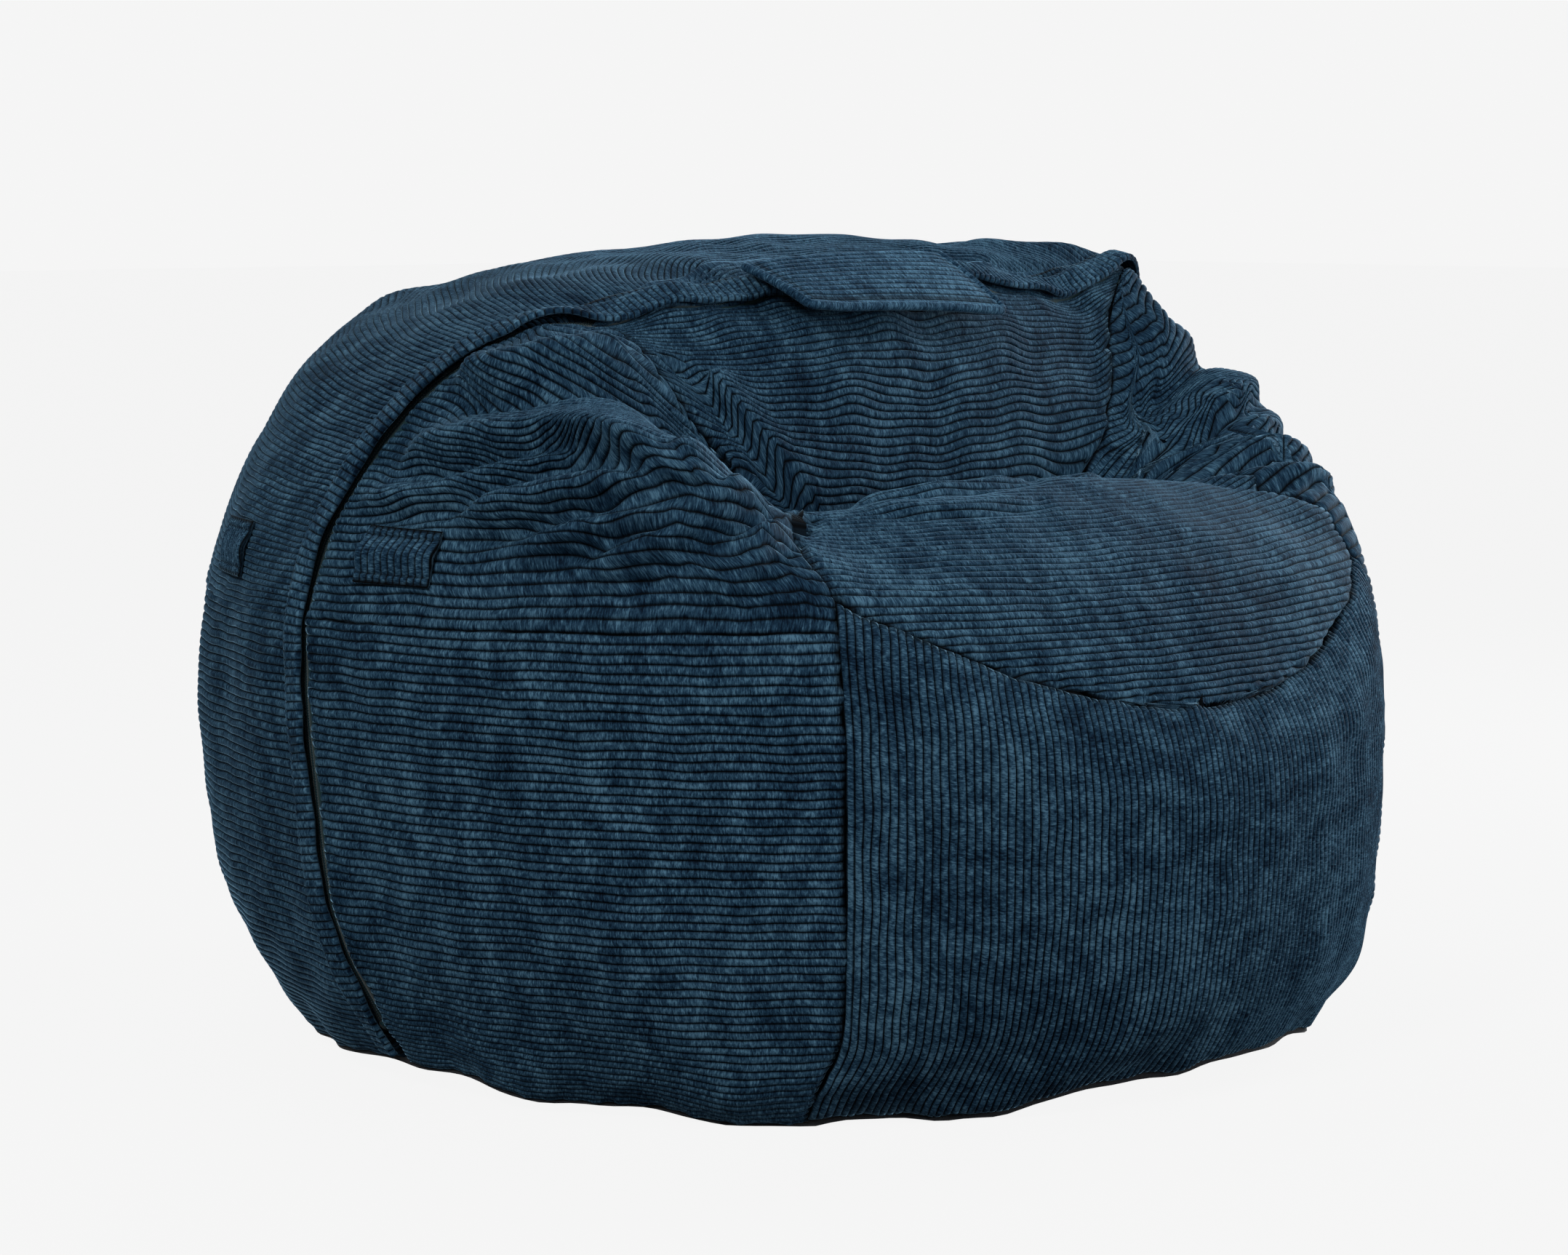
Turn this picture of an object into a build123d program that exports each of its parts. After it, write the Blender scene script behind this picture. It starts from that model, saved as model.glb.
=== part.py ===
"""Moulded bean bag chair: a corduroy cover with a clamshell zip, an inner liner and a foam filling.

The chair is a round stuffed drum with a bucket seat pressed into its front half.
Millimetres, +Z up, origin at the centre of the base on the floor, front towards -Y, left is -X.
Every layer of the chair is the same stuffed form at a different depth, called its inset:
inset 0 is the outside of the cover, a positive inset lies deeper, a negative one stands proud.
"""
from build123d import *
import os

# ------------------------------------------------------------------ driving dimensions
HEIGHT = 722.0             # floor to crown
DRUM_R = 535.0             # greatest radius of the stuffed cover
BASE_R = 446.0             # radius of the flat footprint
COVER_T = 3.0              # corduroy pile and backing
TAPE_T = 0.8               # woven zip tape
LINER_T = 1.5              # liner cloth
LAYER_GAP = 0.5            # air between two layers
BASE_T = 4.0               # depth of the base panel's rim above the floor

ZIP_GAP = 10.0             # opening between the front and back covers that the coil fills
TAPE_REACH = 17.0          # how far each tape runs under the cover
COIL_GAP = 0.5             # between the two coil rows
PLACKET_OUT = 7.0          # underside of the placket above the cover
PLACKET_T = 2.0
PLACKET_REACH = 28.0       # free width of the placket, towards the front
PLACKET_SEAM = 6.0         # width sewn to the back cover
PLACKET_LEFT_END = 26.0    # height of the placket's lower end, left side
PLACKET_RIGHT_END = 232.0  # height of its lower end, right side, which leaves the slider open
ZIP_LEFT_END = 55.0        # heights of the zip's two ends
ZIP_RIGHT_END = 130.0

SEAM_Z = 400.0             # level of the horizontal seam round the sides and the back
FRONT_SEAM_X = 333.0       # front vertical seams, where they cross the widest level
FRONT_SEAM_Y = -418.0
CREASE_Y = -195.0          # seat meets backrest
CREASE_HALF = 205.0        # half width of the seat at the crease
CORNER_X = 305.0           # front corners of the seat panel
CORNER_Y = -380.0
CORNER_Z = 422.0
ARC_LOW_Z = 335.0          # lowest point of the seat panel's curved front seam
BACK_TOP_HALF = 330.0      # half width of the backrest panel at its top
BACK_TOP_Z = 660.0

FLAP_W = 236.0             # label flap
FLAP_L = 84.0
FLAP_T = 2.4
FLAP_PAD_T = 4.0
FLAP_EDGE_W = 4.0          # corded binding round it
FLAP_CORNER_R = 12.0
FLAP_HINGE = (0.0, -90.0, 684.0)  # middle of the underside's sewn edge
FLAP_SLOPE = 18.0          # degrees below level, towards the front

LOOP_W = 80.0              # strap loops
LOOP_H = 52.0
LOOP_T = 2.4
LOOP_OUT = 4.0             # loop's underside above the cover
LOOP_HEM = 8.0             # sewn height at its top and bottom
LOOP_Z = 454.0
LOOP_AZ = {"front": 82.0, "rear": 110.0}

STOP_L = 5.0               # moulded stops at the two ends of the coil
STOP_PROUD = 0.6
SLIDER_Z = 148.0           # parked height of the cover zip's slider
SLIDER_TRAVEL = 60.0       # straight stretch of the zip above it
SLIDER_W = 11.0
SLIDER_L = 15.0
SLIDER_T = 4.0
SLIDER_CLEAR = 1.8         # slider above the cover at both ends of its travel
PIN_ABOVE = 2.4            # cross pin above the slider's face
PIN_R = 0.7
PIN_CLEAR = 0.1
EAR_OFFSET = 3.4
EAR_L = 3.6
EAR_T = 1.2
EYE_W = 4.6                # pull tab's eye
EYE_R = 1.7
NECK_L = 2.4
TAB_W = 9.0
TAB_L = 34.0
TAB_T = 1.6

LINER_BASE_Z = 14.0        # rim of the liner's base
LINER_SEAM_Z = 330.0       # liner's upper and lower panels meet here
LINER_ZIP_HALF = 150.0     # half length of the liner's level zip, across the back
LINER_TAPE_H = 24.0
LINER_COIL_H = 6.0
LINER_SLIDER_L = 11.0

REACH = 700.0              # longer than the chair: cutting solids run past it

# ------------------------------------------------------------------ curves of the stuffed form
# side of the drum, radius and height, from the edge of the footprint up to the crown
SIDE = [
    (BASE_R, 0),
    (494, 55),
    (525, 150),
    (DRUM_R, 285),
    (521, 410),
    (482, 510),
    (412, 605),
    (305, 673),
    (160, 712),
    (60, 721),
    (0, HEIGHT),
]
# seat from its front lip back to the crease, then backrest from the crease up to the crown, y and z
SEAT = [(-620, 205), (-510, 332), (-425, 424), (-345, 470), (-265, 486), (CREASE_Y, 458)]
BACKREST = [(CREASE_Y, 458), (-176, 540), (-150, 612), (-92, 668), (10, 701), (150, 724)]
# plan half outline of the hollow's side walls at two heights: rear, crease and front, x and y
WALL_LOW_Z = 460.0
WALL_LOW = [(CREASE_HALF, 160), (CREASE_HALF, CREASE_Y), (440, -560)]
WALL_HIGH_Z = 660.0
WALL_HIGH = [(380, 160), (380, -95), (750, -560)]
# line of the cover zip up the side and over the crown, y and z
ZIP = [(0, -40), (4, 80), (26, 250), (42, 400), (24, 500), (-8, 575), (-52, 640), (-80, 690), (-86, 800)]


def beside(points, distance):
    """The open line of points, moved sideways by a distance, to the left of its direction."""
    moved = []
    last = len(points) - 1
    for i in range(len(points)):
        before = Vector(*points[max(i - 1, 0)])
        after = Vector(*points[min(i + 1, last)])
        along = (after - before).normalized()
        moved.append((points[i][0] - distance * along.Y, points[i][1] + distance * along.X))
    return moved


def wall_outline(z, inset):
    """Plan outline of the seat hollow's side walls at height z."""
    share = (z - WALL_LOW_Z) / (WALL_HIGH_Z - WALL_LOW_Z)
    half = []
    for low, high in zip(WALL_LOW, WALL_HIGH):
        half.append((low[0] + share * (high[0] - low[0]) + inset, low[1] + share * (high[1] - low[1])))
    return half + [(-x, y) for x, y in reversed(half)]


def seat_hollow(inset):
    """The space above the seat and in front of the backrest."""
    seat = beside(SEAT, -inset)
    backrest = beside(BACKREST, -inset)
    crease = (CREASE_Y + inset * 0.5, SEAT[-1][1] - inset)
    with BuildPart() as hollow:
        for z in (250.0, 850.0):
            with BuildSketch(Plane.XY.offset(z)):
                with BuildLine():
                    Polyline(*wall_outline(z, inset), close=True)
                make_face()
        loft(ruled=True)
        with BuildSketch(Plane.YZ):
            with BuildLine():
                lower = Spline(*seat[:-1], crease)
                upper = Spline(crease, *backrest[1:])
                Polyline(upper @ 1, (150, REACH + 200), (SEAT[0][0], REACH + 200), lower @ 0)
            make_face()
        extrude(amount=2 * REACH, both=True, mode=Mode.INTERSECT)
    return hollow.part


def stuffed_form(inset):
    """The whole chair as one solid at the given inset."""
    side = beside(SIDE, inset)
    side[0] = (BASE_R - 0.5 * inset, inset)
    side[-1] = (0, HEIGHT - inset)
    with BuildPart() as form:
        with BuildSketch(Plane.XZ):
            with BuildLine():
                outer = Spline(*side)
                Polyline(outer @ 1, (0, inset), outer @ 0)
            make_face()
        revolve(axis=Axis.Z)
        add(seat_hollow(inset), mode=Mode.SUBTRACT)
    return form.part


def layer(outer, inner):
    """The skin between two insets of the stuffed form."""
    with BuildPart() as skin:
        add(stuffed_form(outer))
        add(stuffed_form(inner), mode=Mode.SUBTRACT)
    return skin.part


def side_point(z, y, out):
    """The point of the drum's right side at height z and depth y, moved outwards by out."""
    low, high = 0.0, 0.9
    for _ in range(30):
        middle = 0.5 * (low + high)
        if (SIDE_CURVE @ middle).Y < z:
            low = middle
        else:
            high = middle
    radius = (SIDE_CURVE @ low).X + out
    return Vector((radius**2 - y**2) ** 0.5, y, z)


def zip_y(z):
    """Depth of the zip line at height z, on the drum's side."""
    for lower, upper in zip(ZIP, ZIP[1:]):
        if lower[1] <= z <= upper[1]:
            return lower[0] + (upper[0] - lower[0]) * (z - lower[1]) / (upper[1] - lower[1])


def behind_zip(shift):
    """Everything behind the zip line, with that line moved back by shift."""
    with BuildPart() as half:
        with BuildSketch(Plane.YZ):
            with BuildLine():
                edge = Spline(*[(y + shift, z) for y, z in ZIP])
                Polyline(edge @ 1, (REACH, ZIP[-1][1]), (REACH, ZIP[0][1]), edge @ 0)
            make_face()
        extrude(amount=REACH, both=True)
    return half.part


def zip_band(front, rear):
    """The space that runs along the zip line between two distances from it."""
    with BuildPart() as band:
        add(behind_zip(front))
        add(behind_zip(rear), mode=Mode.SUBTRACT)
    return band.part


def slab(low, high, half=REACH):
    """Everything between two heights."""
    with BuildPart() as block:
        with BuildSketch(Plane.XY.offset(low)):
            Rectangle(2 * half, 2 * half)
        extrude(amount=high - low)
    return block.part


def side_of(sign):
    """The half of space on the left (-1) or the right (+1)."""
    with BuildPart() as half:
        with BuildSketch(Plane.XY.offset(-REACH)):
            with Locations((sign * REACH, 0)):
                Rectangle(2 * REACH, 4 * REACH)
        extrude(amount=3 * REACH)
    return half.part


def above_ends(left, right):
    """Everything above one height on the left and another on the right."""
    with BuildPart() as space:
        for sign, low in ((-1, left), (1, right)):
            with BuildSketch(Plane.XY.offset(low)):
                with Locations((sign * REACH, 0)):
                    Rectangle(2 * REACH, 4 * REACH)
            extrude(amount=2 * REACH)
    return space.part


def finish(piece, name):
    """Names a finished piece and writes its file."""
    piece.label = name
    export_step(piece, f"parts/{name}.step")


os.makedirs("parts", exist_ok=True)
SIDE_CURVE = Spline(*SIDE)

# ------------------------------------------------------------------ cutting solids of the cover
cover_skin = layer(0, COVER_T)
behind = behind_zip(0)

# opening that the zip fills: from its left end over the crown down to its right end
with BuildPart() as zip_window:
    add(zip_band(-ZIP_GAP / 2, ZIP_GAP / 2))
    add(above_ends(ZIP_LEFT_END, ZIP_RIGHT_END), mode=Mode.INTERSECT)

# everything under the seat panel's curved front seam, seen from the front
with BuildPart() as under_arc:
    with BuildSketch(Plane.XZ):
        with BuildLine():
            ThreePointArc((-CORNER_X, CORNER_Z), (0, ARC_LOW_Z), (CORNER_X, CORNER_Z))
            Polyline((CORNER_X, CORNER_Z), (REACH, CORNER_Z), (REACH, -REACH), (-REACH, -REACH),
                     (-REACH, CORNER_Z), (-CORNER_X, CORNER_Z))
        make_face()
    extrude(amount=2 * REACH, both=True)

# wedge between the two front vertical seams
with BuildPart() as front_zone:
    with BuildSketch():
        with BuildLine():
            Polyline((0, 0), (2 * FRONT_SEAM_X, 2 * FRONT_SEAM_Y),
                     (-2 * FRONT_SEAM_X, 2 * FRONT_SEAM_Y), close=True)
        make_face()
    extrude(amount=REACH)
    add(under_arc.part, mode=Mode.INTERSECT)

# plan of the seat panel, from the crease out past the lip
LIP_X = CREASE_HALF + (CORNER_X - CREASE_HALF) * (CREASE_Y + REACH) / (CREASE_Y - CORNER_Y)
with BuildPart() as seat_zone:
    with BuildSketch():
        with BuildLine():
            Polyline((CREASE_HALF, CREASE_Y), (LIP_X, -REACH),
                     (-LIP_X, -REACH), (-CREASE_HALF, CREASE_Y), close=True)
        make_face()
    extrude(amount=REACH)
    add(under_arc.part, mode=Mode.SUBTRACT)

# front view of the backrest panel, from the crease up to the zip
with BuildPart() as backrest_zone:
    with BuildSketch(Plane.XZ.offset(-CREASE_Y)):
        with BuildLine():
            Polyline((CREASE_HALF, ARC_LOW_Z), (CREASE_HALF, CORNER_Z), (BACK_TOP_HALF, BACK_TOP_Z),
                     (BACK_TOP_HALF, REACH + SEAM_Z), (-BACK_TOP_HALF, REACH + SEAM_Z),
                     (-BACK_TOP_HALF, BACK_TOP_Z), (-CREASE_HALF, CORNER_Z),
                     (-CREASE_HALF, ARC_LOW_Z), close=True)
        make_face()
    extrude(amount=-REACH)
    add(behind, mode=Mode.SUBTRACT)

with BuildPart() as front_cover:
    add(cover_skin)
    add(behind, mode=Mode.SUBTRACT)
    add(zip_window.part, mode=Mode.SUBTRACT)
    add(slab(-REACH, BASE_T), mode=Mode.SUBTRACT)

with BuildPart() as back_cover:
    add(cover_skin)
    add(behind, mode=Mode.INTERSECT)
    add(zip_window.part, mode=Mode.SUBTRACT)
    add(slab(-REACH, BASE_T), mode=Mode.SUBTRACT)

# ------------------------------------------------------------------ cover panels
with BuildPart() as base_panel:
    add(cover_skin)
    add(slab(-REACH, BASE_T), mode=Mode.INTERSECT)
finish(base_panel.part, "base_panel")

with BuildPart() as front_panel:
    add(front_cover.part)
    add(front_zone.part, mode=Mode.INTERSECT)
finish(front_panel.part, "front_panel")

with BuildPart() as seat_panel:
    add(front_cover.part)
    add(seat_zone.part, mode=Mode.INTERSECT)
finish(seat_panel.part, "seat_panel")

with BuildPart() as backrest_panel:
    add(front_cover.part)
    add(backrest_zone.part, mode=Mode.INTERSECT)
finish(backrest_panel.part, "backrest_panel")

with BuildPart() as flanks:
    add(front_cover.part)
    add(front_zone.part, mode=Mode.SUBTRACT)
    add(seat_zone.part, mode=Mode.SUBTRACT)
    add(backrest_zone.part, mode=Mode.SUBTRACT)

for side, sign in (("left", -1), ("right", 1)):
    with BuildPart() as arm_panel:
        add(flanks.part)
        add(side_of(sign), mode=Mode.INTERSECT)
        add(slab(SEAM_Z, 2 * REACH), mode=Mode.INTERSECT)
    finish(arm_panel.part, f"{side}_arm_panel")

    with BuildPart() as side_panel:
        add(flanks.part)
        add(side_of(sign), mode=Mode.INTERSECT)
        add(slab(0, SEAM_Z), mode=Mode.INTERSECT)
    finish(side_panel.part, f"{side}_side_panel")

with BuildPart() as back_upper_panel:
    add(back_cover.part)
    add(slab(SEAM_Z, 2 * REACH), mode=Mode.INTERSECT)
finish(back_upper_panel.part, "back_upper_panel")

with BuildPart() as back_lower_panel:
    add(back_cover.part)
    add(slab(0, SEAM_Z), mode=Mode.INTERSECT)
finish(back_lower_panel.part, "back_lower_panel")


# ------------------------------------------------------------------ cover zip
tape_skin = layer(COVER_T + LAYER_GAP, COVER_T + LAYER_GAP + TAPE_T)
coil_skin = layer(LAYER_GAP, COVER_T)
COIL_HALF = ZIP_GAP / 2 - LAYER_GAP

for name, sign in (("front", -1), ("rear", 1)):
    with BuildPart() as zipper_tape:
        add(tape_skin)
        add(zip_band(*sorted((sign * COIL_GAP / 2, sign * TAPE_REACH))), mode=Mode.INTERSECT)
        add(above_ends(ZIP_LEFT_END, ZIP_RIGHT_END), mode=Mode.INTERSECT)
    finish(zipper_tape.part, f"zipper_tape_{name}")

    with BuildPart() as zipper_coil:
        add(coil_skin)
        add(zip_band(*sorted((sign * COIL_GAP / 2, sign * COIL_HALF))), mode=Mode.INTERSECT)
        add(above_ends(ZIP_LEFT_END + STOP_L, ZIP_RIGHT_END + STOP_L), mode=Mode.INTERSECT)
    finish(zipper_coil.part, f"zipper_coil_{name}")

for side, sign, low in (("left", -1, ZIP_LEFT_END), ("right", 1, ZIP_RIGHT_END)):
    with BuildPart() as zipper_end_stop:
        add(layer(-STOP_PROUD, COVER_T))
        add(zip_band(-COIL_HALF, COIL_HALF), mode=Mode.INTERSECT)
        add(slab(low + LAYER_GAP, low + STOP_L - LAYER_GAP), mode=Mode.INTERSECT)
        add(side_of(sign), mode=Mode.INTERSECT)
    finish(zipper_end_stop.part, f"zipper_end_stop_{side}")

# slider: a body that runs along the coil, with two ears and a cross pin for the pull tab
slide_start = side_point(SLIDER_Z, zip_y(SLIDER_Z), SLIDER_CLEAR)
slide_end = side_point(SLIDER_Z + SLIDER_TRAVEL, zip_y(SLIDER_Z + SLIDER_TRAVEL), SLIDER_CLEAR)
slide_axis = (slide_end - slide_start).normalized()
outward = Vector(slide_start.X, slide_start.Y, 0).normalized()
across = slide_axis.cross(outward).normalized()
slider_plane = Plane(slide_start, x_dir=slide_axis, z_dir=across.cross(slide_axis))
pin_plane = slider_plane.offset(SLIDER_T + PIN_ABOVE)

with BuildPart() as zipper_slider:
    with BuildSketch(slider_plane):
        RectangleRounded(SLIDER_L, SLIDER_W, SLIDER_W * 0.3)
    extrude(amount=SLIDER_T)
    with BuildSketch(slider_plane.offset(SLIDER_T)):
        with Locations((0, -EAR_OFFSET), (0, EAR_OFFSET)):
            Rectangle(EAR_L, EAR_T)
    extrude(amount=PIN_ABOVE + EAR_L / 2)
    with Locations(pin_plane.location * Rotation(90, 0, 0)):
        Cylinder(PIN_R, 2 * EAR_OFFSET)
finish(zipper_slider.part, "zipper_slider")

# pull tab: an eye on the cross pin and a plate that hangs straight down
down = Vector(0, 0, -1)
hang = (down - across * down.dot(across)).normalized()
eye_plane = Plane(pin_plane.origin, x_dir=hang, z_dir=across)
plate_plane = Plane(pin_plane.origin, x_dir=hang, z_dir=hang.cross(across))
with BuildPart() as zipper_pull_tab:
    with BuildSketch(eye_plane.offset(-EYE_W / 2)):
        Circle(EYE_R)
        with Locations((EYE_R + NECK_L / 2, 0)):
            Rectangle(NECK_L + EYE_R, TAB_T)
        Circle(PIN_R + PIN_CLEAR, mode=Mode.SUBTRACT)
    extrude(amount=EYE_W)
    with BuildSketch(plate_plane.offset(-TAB_T / 2)):
        with Locations((EYE_R + NECK_L + TAB_L / 2, 0)):
            RectangleRounded(TAB_L, TAB_W, TAB_W * 0.3)
        with Locations((EYE_R + NECK_L + TAB_L - TAB_W / 2, 0)):
            Circle(TAB_W / 5, mode=Mode.SUBTRACT)
    extrude(amount=TAB_T)
finish(zipper_pull_tab.part, "zipper_pull_tab")

# placket: a strip that lies over the coil, sewn to the back cover, its front edge free
with BuildPart() as placket_seam:
    add(layer(-PLACKET_OUT, 0))
    add(zip_band(ZIP_GAP / 2, ZIP_GAP / 2 + PLACKET_SEAM), mode=Mode.INTERSECT)

with BuildPart() as zipper_placket:
    add(layer(-PLACKET_OUT - PLACKET_T, -PLACKET_OUT))
    add(zip_band(-PLACKET_REACH, ZIP_GAP / 2 + PLACKET_SEAM), mode=Mode.INTERSECT)
    add(placket_seam.part)
    add(above_ends(PLACKET_LEFT_END, PLACKET_RIGHT_END), mode=Mode.INTERSECT)
finish(zipper_placket.part, "zipper_placket")

# ------------------------------------------------------------------ strap loops
loop_skin = layer(-LOOP_OUT - LOOP_T, -LOOP_OUT)
hem_skin = layer(-LOOP_OUT, 0)
for side, sign in (("left", -1), ("right", 1)):
    for place, azimuth in LOOP_AZ.items():
        turn = Plane.XY.rotated((0, 0, sign * azimuth - 90))
        with BuildPart() as loop_hems:
            with BuildSketch(turn.offset(LOOP_Z - LOOP_H / 2), turn.offset(LOOP_Z + LOOP_H / 2 - LOOP_HEM)):
                with Locations((REACH / 2, 0)):
                    Rectangle(REACH, LOOP_W)
            extrude(amount=LOOP_HEM)
            add(hem_skin, mode=Mode.INTERSECT)

        with BuildPart() as strap_loop:
            with BuildSketch(turn.offset(LOOP_Z - LOOP_H / 2)):
                with Locations((REACH / 2, 0)):
                    Rectangle(REACH, LOOP_W)
            extrude(amount=LOOP_H)
            add(loop_skin, mode=Mode.INTERSECT)
            add(loop_hems.part)
        finish(strap_loop.part, f"strap_loop_{place}_{side}")

# ------------------------------------------------------------------ label flap
flap_plane = Plane(FLAP_HINGE, x_dir=(1, 0, 0), z_dir=Vector(0, 0, 1).rotate(Axis.X, FLAP_SLOPE))


def flap_sheet(bottom, thickness, grow):
    """One layer of the flap, which lies forward from its sewn edge."""
    with BuildPart() as sheet:
        with BuildSketch(flap_plane.offset(bottom)):
            with Locations((0, -FLAP_L / 2)):
                RectangleRounded(FLAP_W + 2 * grow, FLAP_L + 2 * grow, FLAP_CORNER_R + grow)
        extrude(amount=thickness)
    return sheet.part


flap_levels = {
    "label_flap_backing": (0.0, FLAP_T),
    "label_flap_padding": (FLAP_T, FLAP_PAD_T),
    "label_flap_face": (FLAP_T + FLAP_PAD_T, FLAP_T),
}
for name, (bottom, thickness) in flap_levels.items():
    finish(flap_sheet(bottom, thickness, 0), name)

FLAP_DEPTH = 2 * FLAP_T + FLAP_PAD_T
with BuildPart() as label_flap_binding:
    add(flap_sheet(0, FLAP_DEPTH, FLAP_EDGE_W))
    add(flap_sheet(0, FLAP_DEPTH, 0), mode=Mode.SUBTRACT)
finish(label_flap_binding.part, "label_flap_binding")

# ------------------------------------------------------------------ inner liner and its filling
LINER_IN = COVER_T + TAPE_T + 2 * LAYER_GAP
LINER_BACK = LINER_IN + LINER_T
FOAM_IN = LINER_BACK + TAPE_T + LAYER_GAP
liner_skin = layer(LINER_IN, LINER_BACK)


def liner_strip(left, right, height):
    """A level strip of space across the chair's back, centred on the liner's seam."""
    with BuildPart() as strip:
        with BuildSketch(Plane.XY.offset(LINER_SEAM_Z - height / 2)):
            with Locations(((left + right) / 2, REACH / 2)):
                Rectangle(right - left, REACH)
        extrude(amount=height)
    return strip.part


liner_levels = {
    "liner_base": (-REACH, LINER_BASE_Z),
    "liner_lower": (LINER_BASE_Z, LINER_SEAM_Z),
    "liner_upper": (LINER_SEAM_Z, 2 * REACH),
}
for name, (low, high) in liner_levels.items():
    with BuildPart() as liner_piece:
        add(liner_skin)
        add(slab(low, high), mode=Mode.INTERSECT)
        add(liner_strip(-LINER_ZIP_HALF, LINER_ZIP_HALF, LINER_COIL_H), mode=Mode.SUBTRACT)
    finish(liner_piece.part, name)

with BuildPart() as liner_zipper_tape:
    add(layer(LINER_BACK, LINER_BACK + TAPE_T))
    add(liner_strip(-LINER_ZIP_HALF, LINER_ZIP_HALF, LINER_TAPE_H), mode=Mode.INTERSECT)
finish(liner_zipper_tape.part, "liner_zipper_tape")

coil_end = LINER_ZIP_HALF - LAYER_GAP - LINER_SLIDER_L
with BuildPart() as liner_zipper_coil:
    add(layer(LINER_IN, LINER_BACK))
    add(liner_strip(LAYER_GAP - LINER_ZIP_HALF, coil_end - LAYER_GAP, LINER_COIL_H - 2 * LAYER_GAP),
        mode=Mode.INTERSECT)
finish(liner_zipper_coil.part, "liner_zipper_coil")

with BuildPart() as liner_zipper_slider:
    add(layer(COVER_T + LAYER_GAP, LINER_BACK))
    add(liner_strip(coil_end, coil_end + LINER_SLIDER_L, LINER_COIL_H - 2 * LAYER_GAP), mode=Mode.INTERSECT)
finish(liner_zipper_slider.part, "liner_zipper_slider")

with BuildPart() as foam_fill:
    add(stuffed_form(FOAM_IN))
finish(foam_fill.part, "foam_fill")
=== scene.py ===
"""Moulded bean bag chair in wide-wale corduroy, dressed over its CAD frame. Metres, front towards -Y."""
import math

import bmesh
import bpy
import numpy as np
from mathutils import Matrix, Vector


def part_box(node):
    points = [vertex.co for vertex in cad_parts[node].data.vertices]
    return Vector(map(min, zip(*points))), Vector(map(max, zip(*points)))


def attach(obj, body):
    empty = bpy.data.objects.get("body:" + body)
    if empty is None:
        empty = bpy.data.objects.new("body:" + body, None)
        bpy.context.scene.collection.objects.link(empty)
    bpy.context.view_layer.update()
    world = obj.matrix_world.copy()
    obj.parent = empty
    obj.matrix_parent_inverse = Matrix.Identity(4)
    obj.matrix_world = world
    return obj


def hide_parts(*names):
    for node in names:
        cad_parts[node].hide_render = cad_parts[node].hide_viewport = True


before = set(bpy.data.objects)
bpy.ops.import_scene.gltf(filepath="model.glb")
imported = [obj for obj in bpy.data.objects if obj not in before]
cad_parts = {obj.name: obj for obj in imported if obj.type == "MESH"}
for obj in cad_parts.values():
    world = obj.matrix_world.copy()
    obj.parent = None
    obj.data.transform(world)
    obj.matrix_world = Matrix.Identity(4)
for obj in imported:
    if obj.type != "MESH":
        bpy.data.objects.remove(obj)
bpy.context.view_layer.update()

# ------------------------------------------------------------------ sizes read from the frame
FOAM_IN = 0.0081                                  # foam surface below the outside of the cover
DRUM_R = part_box("foam_fill")[1][0] + FOAM_IN      # greatest radius of the stuffed bag
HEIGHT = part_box("back_upper_panel")[1][2]         # crown
DOME = HEIGHT + 0.010                             # top of the drum before its crown is pressed flat
SEAM_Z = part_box("back_upper_panel")[0][2]         # horizontal seam
PITCH = 0.007                                     # one corduroy rib and its groove
PILE = 0.0027                                     # depth of the groove

# ------------------------------------------------------------------ places on the stuffed form
CENTRE = np.array([0.0, -0.12, 0.25])             # every point of the cover is seen from here
WIDEST_Z = 0.285
# profiles: height of the seat by y, y of the backrest by height
SEAT = [(-0.62, 0.20), (-0.51, 0.33), (-0.425, 0.424), (-0.345, 0.472), (-0.265, 0.488), (-0.195, 0.458),
        (0.2, 0.2)]
BACKREST = [(0.30, -0.22), (0.458, -0.195), (0.54, -0.178), (0.612, -0.156), (0.655, -0.120), (0.690, -0.060),
            (0.722, 0.08), (0.9, 1.2)]
ZIP_AHEAD = 0.014                                 # the placket's free edge lies this far before the zip line
# y of the zip by height
ZIP = [(-0.05, 0.0), (0.08, 0.004), (0.25, 0.026), (0.40, 0.042), (0.50, 0.024), (0.575, -0.008),
       (0.64, -0.052), (0.69, -0.080), (0.85, -0.088)]
PINCH = np.array([0.200, -0.192, 0.480])          # right pinch, where seat, backrest and arm meet
CORNER = np.array([0.305, -0.382, 0.422])         # front right corner of the seat
ARC_LOW_Z = 0.335
FRONT_AZ = math.radians(38.6)                     # front vertical seams
BACK_TOP = np.array([0.330, -0.088, 0.660])       # upper end of the backrest's side seam
CROWN_X = 0.15                                    # where the back panel's last rib leaves the zip


# ------------------------------------------------------------------ small maths
def smooth_curve(x, knots):
    """Cubic through the knots, with each knot's slope taken from its neighbours."""
    kx = np.array([k[0] for k in knots])
    ky = np.array([k[1] for k in knots])
    slope = np.gradient(ky, kx)
    x = np.clip(x, kx[0], kx[-1])
    i = np.clip(np.searchsorted(kx, x) - 1, 0, len(kx) - 2)
    step = kx[i + 1] - kx[i]
    u = (x - kx[i]) / step
    return ((2 * u**3 - 3 * u**2 + 1) * ky[i] + (u**3 - 2 * u**2 + u) * step * slope[i]
            + (3 * u**2 - 2 * u**3) * ky[i + 1] + (u**3 - u**2) * step * slope[i + 1])


def smooth_max(a, b, k):
    """Larger of two distances, rounded over a width k."""
    h = np.clip(0.5 + 0.5 * (a - b) / k, 0, 1)
    return b + (a - b) * h + k * h * (1 - h)


def smooth_min(a, b, k):
    """Smaller of two distances, rounded over a width k."""
    return -smooth_max(-a, -b, k)


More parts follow.
